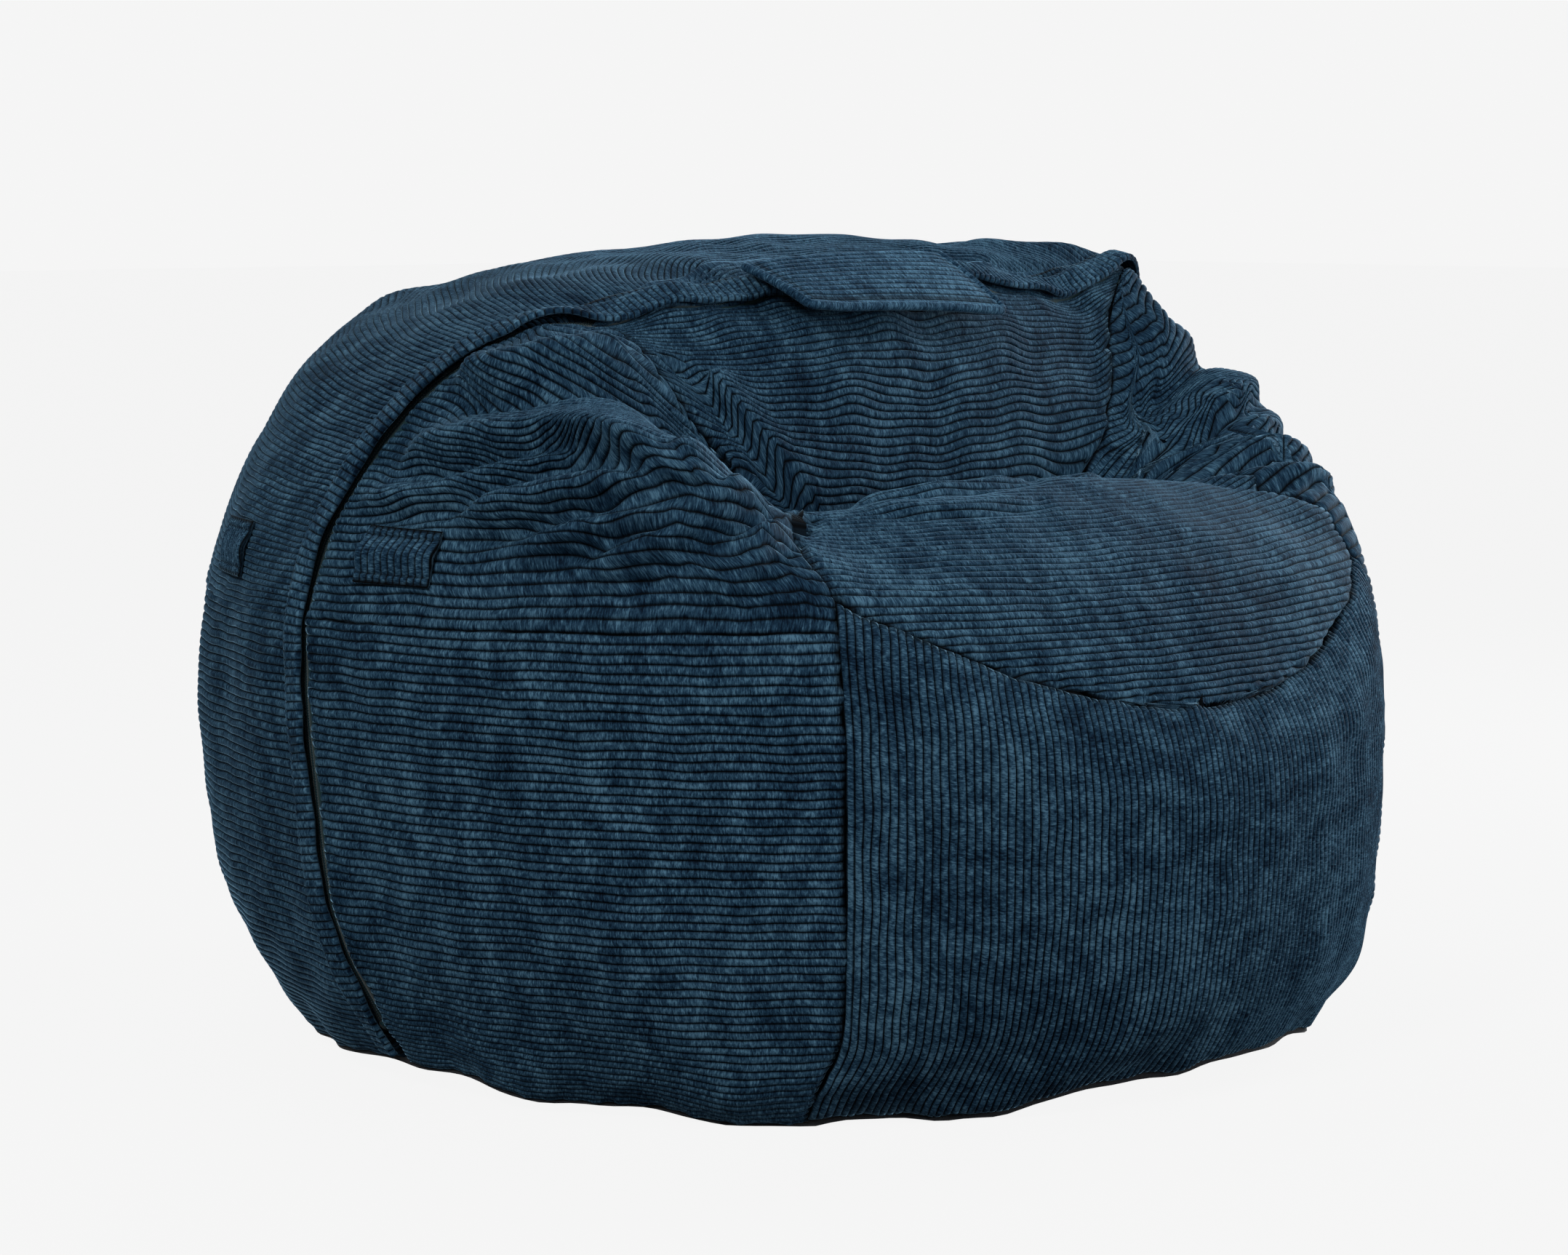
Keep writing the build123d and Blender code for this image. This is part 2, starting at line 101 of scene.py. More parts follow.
def unit(v):
    """Vectors at length 1."""
    return v / np.maximum(np.linalg.norm(v, axis=-1, keepdims=True), 1e-9)


def ease(x, low, high):
    """0 below low, 1 above high, smooth between."""
    u = np.clip((x - low) / (high - low), 0, 1)
    return u * u * (3 - 2 * u)


def arc_lengths(points):
    """Length along a polyline from its first point to each of its points."""
    return np.concatenate([[0], np.cumsum(np.linalg.norm(np.diff(points, axis=0), axis=1))])


def along(points, share):
    """Points at shares 0 to 1 of the length of a polyline, smoothed between its corners."""
    points = np.asarray(points, float)
    place = arc_lengths(points) / arc_lengths(points)[-1]
    return np.stack([smooth_curve(share, list(zip(place, points[:, i]))) for i in range(3)], -1)


def ripples(p, wave, seed, count=9):
    """Seeded smooth noise in space, about -1 to 1, from waves in scattered directions."""
    rng = np.random.default_rng(seed)
    total = np.zeros(p.shape[:-1])
    for _ in range(count):
        direction = rng.normal(size=3)
        direction /= np.linalg.norm(direction)
        length = wave * rng.uniform(0.7, 1.5)
        total += np.sin(p @ direction * (2 * math.pi / length) + rng.uniform(0, 2 * math.pi))
    return total / math.sqrt(count) * 0.8


SLIDER_LINE = np.array([(0.528, 0.010, 0.130), (0.536, 0.022, 0.215)])


# ------------------------------------------------------------------ the stuffed form
# the bag slumps: each level is pushed along LEAN_WAY by this much
LEAN_WAY = (0.731, -0.682)
LEAN = [(-0.05, 0.010), (0.06, 0.014), (0.15, 0.006), (0.30, 0.001), (0.40, -0.004), (0.50, -0.007),
        (0.55, -0.010), (0.61, -0.020), (0.64, -0.016), (0.67, 0.004), (0.70, 0.026), (0.80, 0.030)]


def drum_radius(z):
    """Radius of the drum's side at height z."""
    u = np.clip((z - WIDEST_Z) / (DOME - WIDEST_Z), 0, 0.9995)
    v = np.clip((WIDEST_Z - z) / WIDEST_Z, 0, 1.2)
    return DRUM_R * np.where(z > WIDEST_Z, (1 - u**2.5) ** (1 / 2.3), 1 - 0.155 * v**3.4)


def drum(p):
    """Signed distance, roughly, outside the round drum."""
    z = p[..., 2]
    lean = smooth_curve(z, LEAN)
    r = np.hypot(p[..., 0] - lean * LEAN_WAY[0], p[..., 1] - lean * LEAN_WAY[1])
    slope = (drum_radius(z + 0.002) - drum_radius(z - 0.002)) / 0.004
    side = (r - drum_radius(z)) / np.sqrt(1 + np.minimum(slope**2, 60))
    return np.maximum(side, z - DOME)


def seat_height(x, y):
    """Height of the seat, crowned a little in its middle."""
    crown = 0.016 * np.clip(1 - (x / 0.24) ** 2, -1, 1) * ease(-y, 0.2, 0.3)
    return smooth_curve(y, SEAT) + crown


# the hollow's sides at two heights: height, half width at the rear, and how much it widens forward of which y
HOLLOW_SIDES = [(0.46, 0.205, 0.644, -0.195), (0.66, 0.380, 0.796, -0.095)]


def hollow(p):
    """Depth inside the seat hollow: above the seat, before the backrest, between the arms."""
    x, y, z = p[..., 0], p[..., 1], p[..., 2]
    over_seat = (z - seat_height(x, y)) * 0.85
    lean = smooth_curve(z, BACKREST) + 0.03 * ease(np.abs(x), 0.05, 0.3) * ease(z, 0.50, 0.62)
    steep = (smooth_curve(z + 0.003, BACKREST) - smooth_curve(z - 0.003, BACKREST)) / 0.006
    before_back = (lean - y) / np.sqrt(1 + np.minimum(steep**2, 40))
    low, high = (width + widening * np.maximum(rear - y, 0) for _, width, widening, rear in HOLLOW_SIDES)
    share = (z - HOLLOW_SIDES[0][0]) / (HOLLOW_SIDES[1][0] - HOLLOW_SIDES[0][0])
    between = (low + share * (high - low) - np.abs(x)) * 0.66
    inside = smooth_min(over_seat, before_back, 0.014)
    return smooth_min(inside, between, 0.05)


def mirrored(point, side):
    """A point of the right side, or its mirror on the left."""
    return point * np.array([side, 1, 1])


# the folds of the arms, the backrest and the seat: width, height, and the points of the crest, from the
# outside of the arm to the pinch
FOLDS = [
    (0.022, 0.022, [(-0.435, -0.045, 0.595), (-0.410, -0.115, 0.605), (-0.340, -0.140, 0.605),
                    (-0.280, -0.135, 0.590)]),
    (0.016, 0.021, [(-0.480, -0.035, 0.530), (-0.455, -0.125, 0.550), (-0.415, -0.195, 0.560),
                    (-0.375, -0.275, 0.535)]),
    (0.012, 0.014, [(-0.505, 0.000, 0.495), (-0.475, -0.130, 0.515), (-0.440, -0.175, 0.535),
                    (-0.420, -0.210, 0.545), (-0.385, -0.290, 0.525)]),
    (0.015, 0.022, [(-0.495, -0.115, 0.480), (-0.475, -0.155, 0.495), (-0.435, -0.230, 0.515),
                    (-0.380, -0.290, 0.525), (-0.300, -0.250, 0.505)]),
    (0.013, 0.016, [(-0.480, -0.175, 0.455), (-0.445, -0.240, 0.485), (-0.400, -0.290, 0.505),
                    (-0.340, -0.300, 0.510), (-0.270, -0.250, 0.490)]),
    (0.014, 0.018, [(-0.460, -0.245, 0.440), (-0.415, -0.290, 0.475), (-0.375, -0.310, 0.500),
                    (-0.280, -0.295, 0.490)]),
    (0.012, 0.011, [(-0.400, -0.335, 0.425), (-0.360, -0.345, 0.455), (-0.305, -0.320, 0.480)]),
    (0.013, 0.010, [(-0.230, -0.140, 0.600), (-0.200, -0.165, 0.555), (-0.170, -0.180, 0.520)]),
    (0.024, 0.011, [(0.460, -0.010, 0.585), (0.420, -0.100, 0.600), (0.350, -0.145, 0.600),
                    (0.280, -0.135, 0.580)]),
    (0.018, 0.009, [(0.480, -0.070, 0.545), (0.430, -0.165, 0.560), (0.360, -0.215, 0.560),
                    (0.280, -0.195, 0.525)]),
    (0.015, 0.007, [(0.490, -0.100, 0.505), (0.440, -0.205, 0.530), (0.380, -0.250, 0.535),
                    (0.280, -0.220, 0.510)]),
    (0.017, 0.010, [(0.485, -0.160, 0.465), (0.435, -0.250, 0.495), (0.375, -0.285, 0.510),
                    (0.270, -0.240, 0.495)]),
    (0.014, 0.007, [(0.460, -0.235, 0.435), (0.415, -0.290, 0.470), (0.365, -0.315, 0.490),
                    (0.270, -0.290, 0.490)]),
    (0.014, 0.006, [(-0.190, -0.250, 0.490), (-0.100, -0.275, 0.490), (0.000, -0.270, 0.490)]),
    (0.012, 0.005, [(-0.200, -0.290, 0.485), (-0.130, -0.320, 0.480), (-0.040, -0.325, 0.485)]),
    (0.014, 0.005, [(0.170, -0.230, 0.490), (0.110, -0.250, 0.490), (0.040, -0.245, 0.490)]),
]


def fold_section(across, width):
    """Section across a fold: round above its crest, steep below it, with a valley at its foot."""
    above = np.exp(-((across / (1.25 * width)) ** 2))
    below = np.exp(-((across / (0.62 * width)) ** 2))
    valley = 0.60 * np.exp(-(((across - 1.2 * width) / (0.5 * width)) ** 2))
    return np.where(across < 0, above, below) - valley


def fans(p):
    """Folds that fan out from the two pinches over the arms, the backrest and the rear of the seat."""
    flat = p.reshape(-1, 3)
    total = np.zeros(len(flat))
    reach = np.linalg.norm(flat - CENTRE, axis=1)
    way = (flat - CENTRE) / reach[:, None]
    for width, height, points in FOLDS:
        line = unit(along(points, np.linspace(0, 1, 13)) - CENTRE)
        side = np.sign(points[0][0])
        here = np.flatnonzero(way @ line.mean(0) > 0.80)
        nearest = np.full(len(here), 9.0)
        across = np.zeros(len(here))
        place = np.zeros(len(here))
        for i, (a, b) in enumerate(zip(line, line[1:])):
            share = np.clip((way[here] - a) @ (b - a) / ((b - a) @ (b - a)), 0, 1)
            offset = way[here] - a - share[:, None] * (b - a)
            gap = np.linalg.norm(offset, axis=1)
            down = side * unit(np.cross(0.5 * (a + b), b - a))
            closer = gap < nearest
            nearest = np.where(closer, gap, nearest)
            across = np.where(closer, gap * np.sign(offset @ down), across)
            place = np.where(closer, (i + share) / (len(line) - 1), place)
        fade = ease(place, 0.0, 0.20) * (1 - 0.5 * ease(place, 0.88, 1.0))
        beyond = np.exp(-((nearest * reach[here] / (3.0 * width)) ** 4))
        total[here] += height * fold_section(across * reach[here], width) * fade * beyond
    return total.reshape(p.shape[:-1])


# places where the filling pushes the cover out or leaves it slack: centre, radius, height
BULGES = [
    ((0.355, -0.085, 0.665), 0.075, 0.026),
    ((0.300, 0.000, 0.705), 0.090, 0.020),
    ((-0.070, 0.130, 0.705), 0.120, -0.010),
    ((0.150, 0.060, 0.713), 0.080, 0.006),
    ((-0.270, 0.250, 0.660), 0.060, 0.010),
    ((-0.460, 0.290, 0.280), 0.080, 0.008),
    ((0.395, -0.260, 0.515), 0.050, -0.008),
    ((0.402, -0.195, 0.568), 0.045, 0.014),
    ((-0.375, -0.230, 0.040), 0.110, 0.004),
    ((-0.330, -0.340, 0.020), 0.070, 0.010),
]


def outside(p, folds=True):
    """Positive outside the stuffed cover, about in metres, with its folds and slack."""
    bag = smooth_max(drum(p), hollow(p), 0.055)
    for side in (-1, 1):
        q = p - mirrored(PINCH, side)
        bag = bag + 0.020 * np.exp(-np.sum(q**2, axis=-1) / (2 * 0.035**2))
    flat = np.exp(-np.maximum(p[..., 2], 0) / 0.06)
    slack = 0.0022 * ripples(p, 0.16, 3) + 0.0012 * ripples(p, 0.07, 5)
    slack = slack + 0.0030 * ripples(p, 0.065, 8) * ease(p[..., 2], 0.57, 0.67)
    a, b = SLIDER_LINE
    share = np.clip((p - a) @ (b - a) / ((b - a) @ (b - a)), 0, 1)
    beside = p - a - share[..., None] * (b - a)
    bag = bag + 0.005 * np.exp(-np.sum(beside**2, axis=-1) / (2 * 0.022**2))
    for middle, radius, height in BULGES:
        bag = bag - height * np.exp(-np.sum((p - np.array(middle)) ** 2, axis=-1) / radius**2)
    if folds:
        bag = bag - fans(p)
    return bag - slack * (1 + 1.5 * flat)


def on_surface(targets, lift=0.0, folds=True):
    """Points of the cover in the directions of the targets, seen from the centre."""
    way = targets - CENTRE
    way = way / np.linalg.norm(way, axis=-1, keepdims=True)
    low = np.full(way.shape[:-1], 0.06)
    high = np.full(way.shape[:-1], 0.85)
    for _ in range(17):
        middle = 0.5 * (low + high)
        out = outside(CENTRE + way * middle[..., None], folds) > lift
        high = np.where(out, middle, high)
        low = np.where(out, low, middle)
    points = CENTRE + way * low[..., None]
    points[..., 2] = np.maximum(points[..., 2], 0.0)
    return points


# ------------------------------------------------------------------ seams of the cover
HALF_GAP = 0.005                                  # between the zip's line and the panels beside it


def round_axis(azimuth, radius, z):
    """Points at an azimuth from the front (towards +X), a radius and a height."""
    azimuth, radius, z = np.broadcast_arrays(azimuth, radius, z)
    return np.stack([radius * np.sin(azimuth), -radius * np.cos(azimuth), z], -1)


def heights(count):
    """Heights from the floor to the horizontal seam, evenly spaced along the drum's profile."""
    z = np.linspace(0, SEAM_Z, 400)
    place = arc_lengths(np.stack([z, drum_radius(z)], -1))
    return np.interp(np.linspace(0, place[-1], count), place, z)


def zip_side(z, side, shift=0.0):
    """The zip's line on the bag's side, at height z, moved back by shift."""
    ahead = ZIP_AHEAD * (1.0 if side < 0 else ease(z, 0.25, 0.36))
    y = smooth_curve(z, ZIP) - ahead + shift
    x = np.sqrt(np.maximum(drum_radius(z) ** 2 - y**2, 0.01))
    return np.stack([side * x, y, z * np.ones_like(y)], -1)


def zip_crown(x, shift=0.0):
    """The zip's line over the crown, at x, moved back by shift."""
    u = np.abs(x) / BACK_TOP[0]
    y = -0.097 + (BACK_TOP[1] + 0.097) * u**2 + shift
    z = 0.703 + (BACK_TOP[2] - 0.703) * u**2
    return np.stack([x * np.ones_like(u), y, z], -1)


def zip_upper(side, shift=0.0):
    """The zip from the horizontal seam up to the crown at the end of the backrest seam."""
    low = zip_side(np.linspace(SEAM_Z, 0.635, 12), side, shift)
    return np.concatenate([low, [mirrored(BACK_TOP, side) + (0, shift, 0)]])


# where the hem lifts off the floor: degrees round from the front, width in degrees, height
HEM_LIFTS = [(9, 29, 0.042), (-84, 24, 0.023), (90, 40, 0.014)]


def hem_height(azimuth):
    """How far the cover's lower hem is off the floor: it touches at the front left corner and at the back."""
    degrees = np.degrees(azimuth)
    height = 0.002 + 0.003 * np.sin(9 * azimuth + 1) ** 2
    for middle, width, lift in HEM_LIFTS:
        height = height + lift * np.exp(-(((degrees - middle) / width) ** 2))
    return height


def base_height(points):
    """Height of the base's cloth: at the hem by its rim, on the floor further in."""
    azimuth = np.arctan2(points[..., 0], -points[..., 1])
    radius = np.hypot(points[..., 0], points[..., 1])
    return 0.0012 + (hem_height(azimuth) + 0.009) * ease(radius, 0.26, 0.35)


def seam_azimuth(z, side):
    """Azimuth of a front vertical seam, whose foot is pulled towards the left."""
    return FRONT_AZ - side * 0.046 * (1 - ease(z, 0.0, 0.085)) * (1 if side < 0 else 0.4)


def hemmed(points):
    """Rows of a wall panel with their lower end raised to the hem."""
    azimuth = np.arctan2(points[..., 0], -points[..., 1])
    z = points[..., 2]
    points[..., 2] = z + hem_height(azimuth) * np.clip(1 - z / 0.11, 0, 1) ** 2
    return points


def front_radius(z):
    """Radius of the front vertical seam, which leans in towards the seat's corner."""
    corner = math.hypot(CORNER[0], CORNER[1])
    return drum_radius(z) - (drum_radius(CORNER[2]) - corner) * ease(z, 0.30, 0.46) * 1.25


def arc_point(x):
    """The seam between seat and front panel, a shallow arc."""
    u = np.abs(x) / CORNER[0]
    corner = math.hypot(CORNER[0], CORNER[1])
    radius = 0.517 + (corner - 0.517) * u**2
    z = ARC_LOW_Z + (CORNER[2] - ARC_LOW_Z) * u**2
    return np.stack([x * np.ones_like(u), -np.sqrt(radius**2 - x**2), z], -1)


SIDE_SEAM = np.array([PINCH, (0.232, -0.212, 0.500), (0.270, -0.250, 0.514), (0.303, -0.314, 0.508),
                      (0.318, -0.352, 0.468), CORNER])
CREASE = np.array([0.0, -0.195, 0.458])           # middle of the crease between seat and backrest
BACK_SEAM = np.array([PINCH, (0.228, -0.165, 0.520), (0.262, -0.120, 0.589), BACK_TOP])


# ------------------------------------------------------------------ ribs of each panel, as rows of points
def ring_rows(count, columns, side):
    """Side panel: horizontal ribs from the zip to the front seam."""
    z = heights(count)[:, None]
    start = zip_side(z[:, 0], side, -HALF_GAP)
    start_az = np.arctan2(np.abs(start[:, 0]), -start[:, 1])[:, None]
    t = np.linspace(0, 1, columns)[None, :]
    azimuth = start_az + (seam_azimuth(z, side) - start_az) * t
    radius = drum_radius(z) + (front_radius(z) - drum_radius(z)) * t
    return hemmed(round_axis(side * azimuth, radius, z))


def arm_rows(count, columns, side):
    """Arm: ribs leave the zip evenly and gather into the pinch at the seat's rear corner."""
    f = np.linspace(0, 0.968, count)
    start = along(zip_upper(side, -HALF_GAP), f)
    rise = np.array([(math.sin(FRONT_AZ) * front_radius(z), -math.cos(FRONT_AZ) * front_radius(z), z)
                     for z in (SEAM_Z, 0.411)])
    lower = np.concatenate([rise, SIDE_SEAM[::-1]])
    share = np.interp(f, [0, 0.06, 0.22, 0.37, 0.48], [0, 0.09, 0.45, 0.80, 1.0])
    end = along(lower, share)
    met = [0, 0.05, 0.34, 1.0] if side < 0 else [0, 0.26, 0.58, 1.0]
    upper = along(BACK_SEAM, np.interp(f, [0.48, 0.72, 0.86, 1.0], met))
    end = np.where((f > 0.48)[:, None], upper, end) * np.array([side, 1, 1])
    t = np.linspace(0, 1, columns)[None, :]
    az0, az1 = (np.arctan2(np.abs(e[:, 0]), -e[:, 1])[:, None] for e in (start, end))
    r0, r1 = (np.hypot(e[:, 0], e[:, 1])[:, None] for e in (start, end))
    z0, z1 = start[:, 2:3], end[:, 2:3]
    sag = (0.048 if side < 0 else 0.024) * np.sin(math.pi * f)[:, None] ** 1.3
    z = z0 + (z1 - z0) * t - sag * 4.8 * t**1.4 * (1 - t)
    return round_axis(side * (az0 + (az1 - az0) * t), r0 + (r1 - r0) * t, z)


def seat_rows(count, columns):
    """Seat: ribs run from side to side, cut off in front by the arc seam."""
    y = np.linspace(-0.195, -0.517, 400)
    profile = np.stack([0 * y, y, smooth_curve(y, SEAT)], -1)
    profile[:, 2] += 0.016 * ease(-y, 0.2, 0.3)
    profile = profile[profile[:, 2] > ARC_LOW_Z + 0.0015]
    f = np.linspace(0, 1, count)
    middle = along(np.concatenate([profile[:-12:8], [arc_point(np.array(0.0)) + (0, 0, 0.001)]]), f)
    level = np.clip((middle[:, 2] - ARC_LOW_Z) / (CORNER[2] - ARC_LOW_Z), 0, 1)
    front = (middle[:, 1] < -0.40) & (level < 0.995)
    turn = f[front][0]
    beside = along(SIDE_SEAM, np.clip(f / turn, 0, 1))
    end = np.where(front[:, None], arc_point(CORNER[0] * np.sqrt(level)), beside)
    return bowed(middle, end, columns)


def backrest_rows(count, columns):
    """Backrest: ribs run from side to side, from the crease up to the zip on the crown."""
    z = np.linspace(0.460, 0.703, 300)
    profile = np.stack([0 * z, smooth_curve(z, BACKREST), z], -1)
    f = np.linspace(0, 1, count)
    middle = along(profile[::10], f)
    middle[-1] = zip_crown(np.array(0.0), -HALF_GAP)
    end = along(BACK_SEAM, f)
    end[-1, 1] -= HALF_GAP
    return bowed(middle, end, columns)


def bowed(middle, end, columns):
    """Rows through a middle and a right-hand end, mirrored to the left."""
    t = np.linspace(-1, 1, columns)[None, :, None]
    rows = middle[:, None] + (end - middle)[:, None] * t**2
    rows[..., 0] = end[:, None, 0] * t[..., 0]
    return rows


def front_rows(count, columns):
    """Front panel: upright ribs from the floor to the arc."""
    x = np.linspace(-CORNER[0], CORNER[0], 801)
    arc = arc_point(x)
    azimuth = np.linspace(-FRONT_AZ, FRONT_AZ, count)
    bearing = np.arctan2(arc[:, 0], -arc[:, 1])
    bearing *= FRONT_AZ / bearing[-1]
    top = np.interp(azimuth, bearing, arc[:, 2])[:, None]
    reach = np.interp(azimuth, bearing, np.hypot(arc[:, 0], arc[:, 1]))[:, None]
    t = np.linspace(0, 1, columns)[None, :]
    z = top * t
    lean = ease(z, top - 0.12, top + 0.0001)
    radius = drum_radius(z) + (reach - drum_radius(top)) * lean
    share = azimuth[:, None] / FRONT_AZ
    left, right = seam_azimuth(z, -1), seam_azimuth(z, 1)
    swung = np.where(share < 0, share * left, share * right)
    return hemmed(round_axis(swung, radius, z))


def back_lower_rows(count, columns):
    """Lower back: level ribs from zip to zip."""
    z = heights(count)[:, None]
    ends = [zip_side(z[:, 0], side, HALF_GAP) for side in (1, -1)]
    right, left = (np.arctan2(e[:, 0], -e[:, 1])[:, None] for e in ends)
    t = np.linspace(0, 1, columns)[None, :]
    azimuth = right + (2 * math.pi + left - right) * t
    return hemmed(round_axis(azimuth, drum_radius(z), z))


def back_upper_rows(count, columns):
    """Back: ribs from zip to zip, level at the horizontal seam and straight across at the crown."""
    over = zip_crown(np.linspace(BACK_TOP[0], CROWN_X, 7), HALF_GAP)
    edges = [np.concatenate([zip_upper(side, HALF_GAP)[:-1], over * (side, 1, 1)]) for side in (1, -1)]
    z = np.linspace(SEAM_Z, HEIGHT, 300)
    rear = np.stack([0 * z, drum_radius(z), z], -1)
    rear = rear[rear[:, 1] > 0.12]
    ahead = [(0, 0.06, 0.722), (0, 0.0, 0.716), (0, -0.05, 0.709), tuple(zip_crown(np.array(0.0), HALF_GAP))]
    spine = np.concatenate([rear[::12], ahead])
    f = np.linspace(0, 1, count)
    right, left = (along(edge, f)[:, None] for edge in edges)
    middle = along(spine, f)[:, None]
    angle = np.linspace(0, math.pi, columns)[None, :, None]
    start = np.where(angle < math.pi / 2, right, left)
    rows = start + (middle - start) * np.sin(angle)
    rows[..., 0] = (right[..., 0] + (left - right)[..., 0] * (1 - np.cos(angle[..., 0])) / 2)
    return rows


# ------------------------------------------------------------------ cloth meshes
ACROSS = [0.0, 0.07, 0.16, 0.30, 0.5, 0.70, 0.84, 0.93]   # places across one rib
RIB = [0.0, 0.36, 0.76, 0.96, 1.0, 0.96, 0.76, 0.36]        # its height there


def rib_heights(count, columns):
    """Height of the pile, 0 to 1, on each fine row of a piece with so many ribs."""
    return np.concatenate([np.tile(RIB, count), [0.0]])[:, None] * np.ones(columns)


def rib_places(count):
    """Distance of each fine row from the first, across the ribs."""
    return np.concatenate([(np.arange(count)[:, None] + ACROSS).ravel(), [count]]) * PITCH


def between_rows(rows, places):
    """Smooth points between rows, at the given places from each row to the next."""
    padded = np.concatenate([2 * rows[:1] - rows[1:2], rows, 2 * rows[-1:] - rows[-2:-1]])
    a, b, c, d = padded[:-3], padded[1:-2], padded[2:-1], padded[3:]
    shape = (len(places),) + (1,) * (rows.ndim - 1)
    t = np.array(places).reshape(shape)[None]
    a, b, c, d = (k[:, None] for k in (a, b, c, d))
    fine = 0.5 * (2 * b + (c - a) * t + (2 * a - 5 * b + 4 * c - d) * t**2 + (3 * b - a - 3 * c + d) * t**3)
    fine = fine.reshape((-1,) + rows.shape[1:])
    return np.concatenate([fine, rows[-1:]])


def edge_distance(grid):
    """Distance of each point of a grid from the grid's own edge."""
    loop = np.concatenate([grid[0], grid[1:, -1], grid[-1, -2::-1], grid[-2::-1, 0]])
    place = arc_lengths(loop)
    fine = np.linspace(0, place[-1], int(place[-1] / 0.0035))
    dense = np.stack([np.interp(fine, place, loop[:, i]) for i in range(3)], -1)
    flat = grid.reshape(-1, 3)
    near = np.empty(len(flat))
    for i in range(0, len(flat), 2000):
        part = flat[i:i + 2000]
        squares = (part**2).sum(1)[:, None] + (dense**2).sum(1)[None] - 2 * part @ dense.T
        near[i:i + 2000] = np.sqrt(np.maximum(squares.min(1), 0))
    return near.reshape(grid.shape[:2])


def normals(grid):
    """Outward unit normals of a grid."""
    du = np.gradient(grid, axis=1)
    dv = np.gradient(grid, axis=0)
    n = unit(np.cross(du, dv))
    facing = np.sign(np.sum(n * (grid - CENTRE), axis=-1, keepdims=True))
    return n * facing


def grid_mesh(name, points, uv=None, rib=None, closed=False):
    """A mesh object from a grid of points, faces outwards."""
    rows, columns = points.shape[:2]
    index = np.arange(rows * columns).reshape(rows, columns)
    if closed:
        index = np.concatenate([index, index[:, :1]], 1)
    quads = np.stack([index[:-1, :-1], index[:-1, 1:], index[1:, 1:], index[1:, :-1]], -1).reshape(-1, 4)
    flat = points.reshape(-1, 3)
    a, b, c, d = (flat[quads[:, i]] for i in range(4))
    face = np.cross(c - a, d - b)
    if not closed and np.sum(face * ((a + c) / 2 - CENTRE)) < 0:
        quads = quads[:, ::-1]
    mesh = bpy.data.meshes.new(name)
    mesh.vertices.add(len(flat))
    mesh.vertices.foreach_set("co", flat.astype(np.float32).ravel())
    mesh.loops.add(quads.size)
    mesh.loops.foreach_set("vertex_index", quads.astype(np.int32).ravel())
    mesh.polygons.add(len(quads))
    mesh.polygons.foreach_set("loop_start", np.arange(0, quads.size, 4, dtype=np.int32))
    mesh.polygons.foreach_set("use_smooth", np.ones(len(quads), bool))
    mesh.update(calc_edges=True)
    if uv is not None:
        layer = mesh.uv_layers.new(name="cloth")
        layer.data.foreach_set("uv", uv.reshape(-1, 2)[quads.ravel()].astype(np.float32).ravel())
    if rib is not None:
        attribute = mesh.attributes.new("rib", "FLOAT", "POINT")
        attribute.data.foreach_set("value", rib.astype(np.float32).ravel())
    obj = bpy.data.objects.new(name, mesh)
    bpy.context.scene.collection.objects.link(obj)
    return obj


def folded_rows(rows):
    """Rows laid over the folds so that the cloth taken up by a fold is spread over all the ribs."""
    finer = between_rows(rows, [0.0, 1 / 3, 2 / 3])
    plain = on_surface(finer, folds=False)
    creased = on_surface(finer)
    steps = [np.linalg.norm(np.diff(k, axis=0), axis=2) for k in (plain, creased)]
    place, new = (np.concatenate([np.zeros((1, k.shape[1])), np.cumsum(k, axis=0)]) for k in steps)
    result = creased[::3].copy()
    for column in range(rows.shape[1]):
        wanted = place[::3, column] / place[-1, column] * new[-1, column]
        for axis in range(3):
            result[:, column, axis] = np.interp(wanted, new[:, column], creased[:, column, axis])
    return result


def with_allowance(points, n, uv, height):
    """The grid with one more ring of points, turned in behind the seams."""
    length = np.linalg.norm(np.diff(points, axis=1), axis=2).sum(1)
    wide = np.clip(length / 0.10, 0.0, 1.0)[:, None, None]
    wide = np.concatenate([wide[:1], wide, wide[-1:]])

    def turned(edge, inner, normal, share):
        """An edge's points moved on past the seam and down, less so where a row is short."""
        out = unit(edge - inner)
        return edge + 0.0050 * share * out - (0.0040 + 0.0045 * share) * normal

    low = turned(points[:1], points[5:6], n[:1], wide[:1])
    high = turned(points[-1:], points[-6:-5], n[-1:], wide[-1:])
    points, n = np.concatenate([low, points, high]), np.concatenate([n[:1], n, n[-1:]])
    left = turned(points[:, :1], points[:, 1:2], n[:, :1], wide)
    right = turned(points[:, -1:], points[:, -2:-1], n[:, -1:], wide)
    points = np.concatenate([left, points, right], 1)
    points[..., 2] = np.maximum(points[..., 2], 0.0004)
    uv, height = (np.concatenate([k[:1], k, k[-1:]]) for k in (uv, height))
    uv, height = (np.concatenate([k[:, :1], k, k[:, -1:]], 1) for k in (uv, height))
    return points, uv, height


